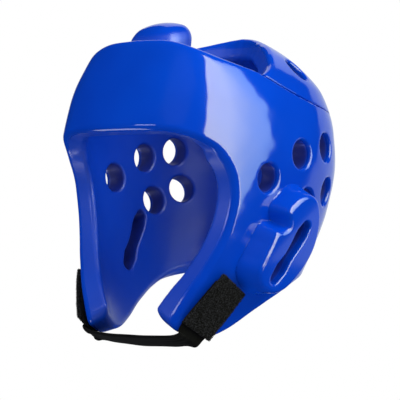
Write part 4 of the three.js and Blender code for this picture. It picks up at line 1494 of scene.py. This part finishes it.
def soft_light(name, turn, rise, strength):
    """A large light that shades the matt colour and leaves no reflection."""
    light = bpy.data.lights.new(name, "AREA")
    light.shape = "DISK"
    light.size = LIGHT_SIZE
    light.energy = strength * LIGHT_POWER
    obj = bpy.data.objects.new(name, light)
    obj.visible_camera = obj.visible_glossy = False
    bpy.context.scene.collection.objects.link(obj)
    place = direction(turn, rise) * LIGHT_REACH
    obj.matrix_world = Matrix.Translation(place) @ (-place).to_track_quat("-Z", "Y").to_matrix().to_4x4()


def photo_camera(scene):
    """The camera at the photograph's angle, turned about the part and tilted with it."""
    upright = Matrix.Rotation(math.radians(CAMERA_TILT), 3, "X").transposed()
    turn = math.radians(CAMERA_TURN)
    right = Vector((math.cos(turn), math.sin(turn), 0))
    back = Vector((math.sin(turn), -math.cos(turn), 0))
    up = Vector((0, 0, 1))
    place = upright @ (back * CAMERA_DISTANCE + right * CAMERA_ASIDE + up * CAMERA_RISE)
    camera = bpy.data.cameras.new("photo camera")
    camera.lens, camera.sensor_width = CAMERA_LENS, CAMERA_SENSOR
    camera.clip_end = 100
    holder = bpy.data.objects.new("photo camera", camera)
    axes = Matrix([upright @ v for v in (right, up, back)]).transposed().to_4x4()
    holder.matrix_world = Matrix.Translation(place) @ axes
    scene.collection.objects.link(holder)
    scene.camera = holder


def pale_floor(scene):
    """A wide pale floor that leaves no reflection in the foam."""
    pale, _, _, paint = new_material("pale floor")
    set_sockets(paint, {"Base Color": FLOOR_COLOUR, "Roughness": 0.8})
    plane = bpy.data.meshes.new("floor")
    ring = [direction(turn, 0) * FLOOR_REACH for turn in range(0, 360, 5)]
    plane.from_pydata([(v.x, v.y, FLOOR_LEVEL) for v in ring], [], [tuple(range(len(ring)))])
    plane.materials.append(pale)
    floor = bpy.data.objects.new("floor", plane)
    scene.collection.objects.link(floor)
    floor.visible_glossy = False


def studio_world(scene, settings):
    """Even light on the matt colour, a dark studio in the gloss and white paper behind."""
    world = bpy.data.worlds.new("studio")
    scene.world = world
    world.use_nodes = True
    nodes, links = world.node_tree.nodes, world.node_tree.links
    nodes.clear()
    out = nodes.new("ShaderNodeOutputWorld")
    path = nodes.new("ShaderNodeLightPath")
    lit = None
    for name, tint, strength, ray in (
            ("even light", EVEN_TINT, settings.fill, None),
            ("dark studio", STUDIO_TINT, settings.dim, "Is Glossy Ray"),
            ("white paper", (1, 1, 1), 1.0, "Is Camera Ray")):
        glow = nodes.new("ShaderNodeBackground")
        glow.name = name
        set_sockets(glow, {"Color": (*tint, 1), "Strength": strength})
        if ray is None:
            lit = glow.outputs[0]
            continue
        mix = nodes.new("ShaderNodeMixShader")
        links.new(path.outputs[ray], mix.inputs[0])
        links.new(lit, mix.inputs[1])
        links.new(glow.outputs[0], mix.inputs[2])
        lit = mix.outputs[0]
    links.new(lit, out.inputs["Surface"])


class HEADGEAR_OT_stage(bpy.types.Operator):
    """Sets up the camera, the softboxes, the even light and the floor"""
    bl_idname = "headgear.stage"
    bl_label = "Studio"

    def execute(self, context):
        settings = context.scene.headgear_stage
        scene = context.scene
        photo_camera(scene)
        scene.view_settings.view_transform = "Standard"
        for name, outline, reach, strength, fade in (
                ("side softbox", SOFTBOX, 1.8, settings.key, SOFTBOX_FADE),
                ("rear backdrop", BACKDROP, 2.2, settings.rear, BACKDROP_FADE),
                ("low reflector", LOW_PANEL, 2.0, settings.low, PLAIN_FADE),
                ("front panel", FRONT_PANEL, 2.0, settings.low * FRONT_SHARE, PLAIN_FADE)):
            reflector(name, outline, reach, strength, fade)
        soft_light("left light", *LEFT_LIGHT, settings.left)
        soft_light("front light", *FRONT_LIGHT, settings.front)
        pale_floor(scene)
        studio_world(scene, settings)
        return {"FINISHED"}


class HEADGEAR_PT_panel(bpy.types.Panel):
    """Lists the headgear's pieces and its studio"""
    bl_idname = "HEADGEAR_PT_panel"
    bl_label = "Foam headgear"
    bl_space_type = "VIEW_3D"
    bl_region_type = "UI"
    bl_category = "Headgear"

    def draw(self, context):
        for operator in OPERATORS:
            self.layout.operator(operator.bl_idname)
        for group, holder in GROUPS:
            for name in group.__annotations__:
                self.layout.prop(getattr(context.scene, holder), name)


OPERATORS = (
    HEADGEAR_OT_stage, HEADGEAR_OT_shell, HEADGEAR_OT_crown, HEADGEAR_OT_tongue,
    HEADGEAR_OT_guards, HEADGEAR_OT_strap, HEADGEAR_OT_fasteners,
)
GROUPS = (
    (FoamSettings, "headgear_foam"), (StrapSettings, "headgear_strap"), (StageSettings, "headgear_stage"),
)


def register():
    for group, name in GROUPS:
        bpy.utils.register_class(group)
        setattr(bpy.types.Scene, name, bpy.props.PointerProperty(type=group))
    for cls in (*OPERATORS, HEADGEAR_PT_panel):
        bpy.utils.register_class(cls)


def unregister():
    for cls in (HEADGEAR_PT_panel, *reversed(OPERATORS)):
        bpy.utils.unregister_class(cls)
    for group, name in reversed(GROUPS):
        delattr(bpy.types.Scene, name)
        bpy.utils.unregister_class(group)


def main():
    register()
    bpy.ops.headgear.stage()
    bpy.ops.headgear.shell()
    bpy.ops.headgear.crown()
    bpy.ops.headgear.tongue()
    bpy.ops.headgear.guards()
    bpy.ops.headgear.strap()
    bpy.ops.headgear.fasteners()
    bpy.context.view_layer.update()


if __name__ == "__main__":
    main()
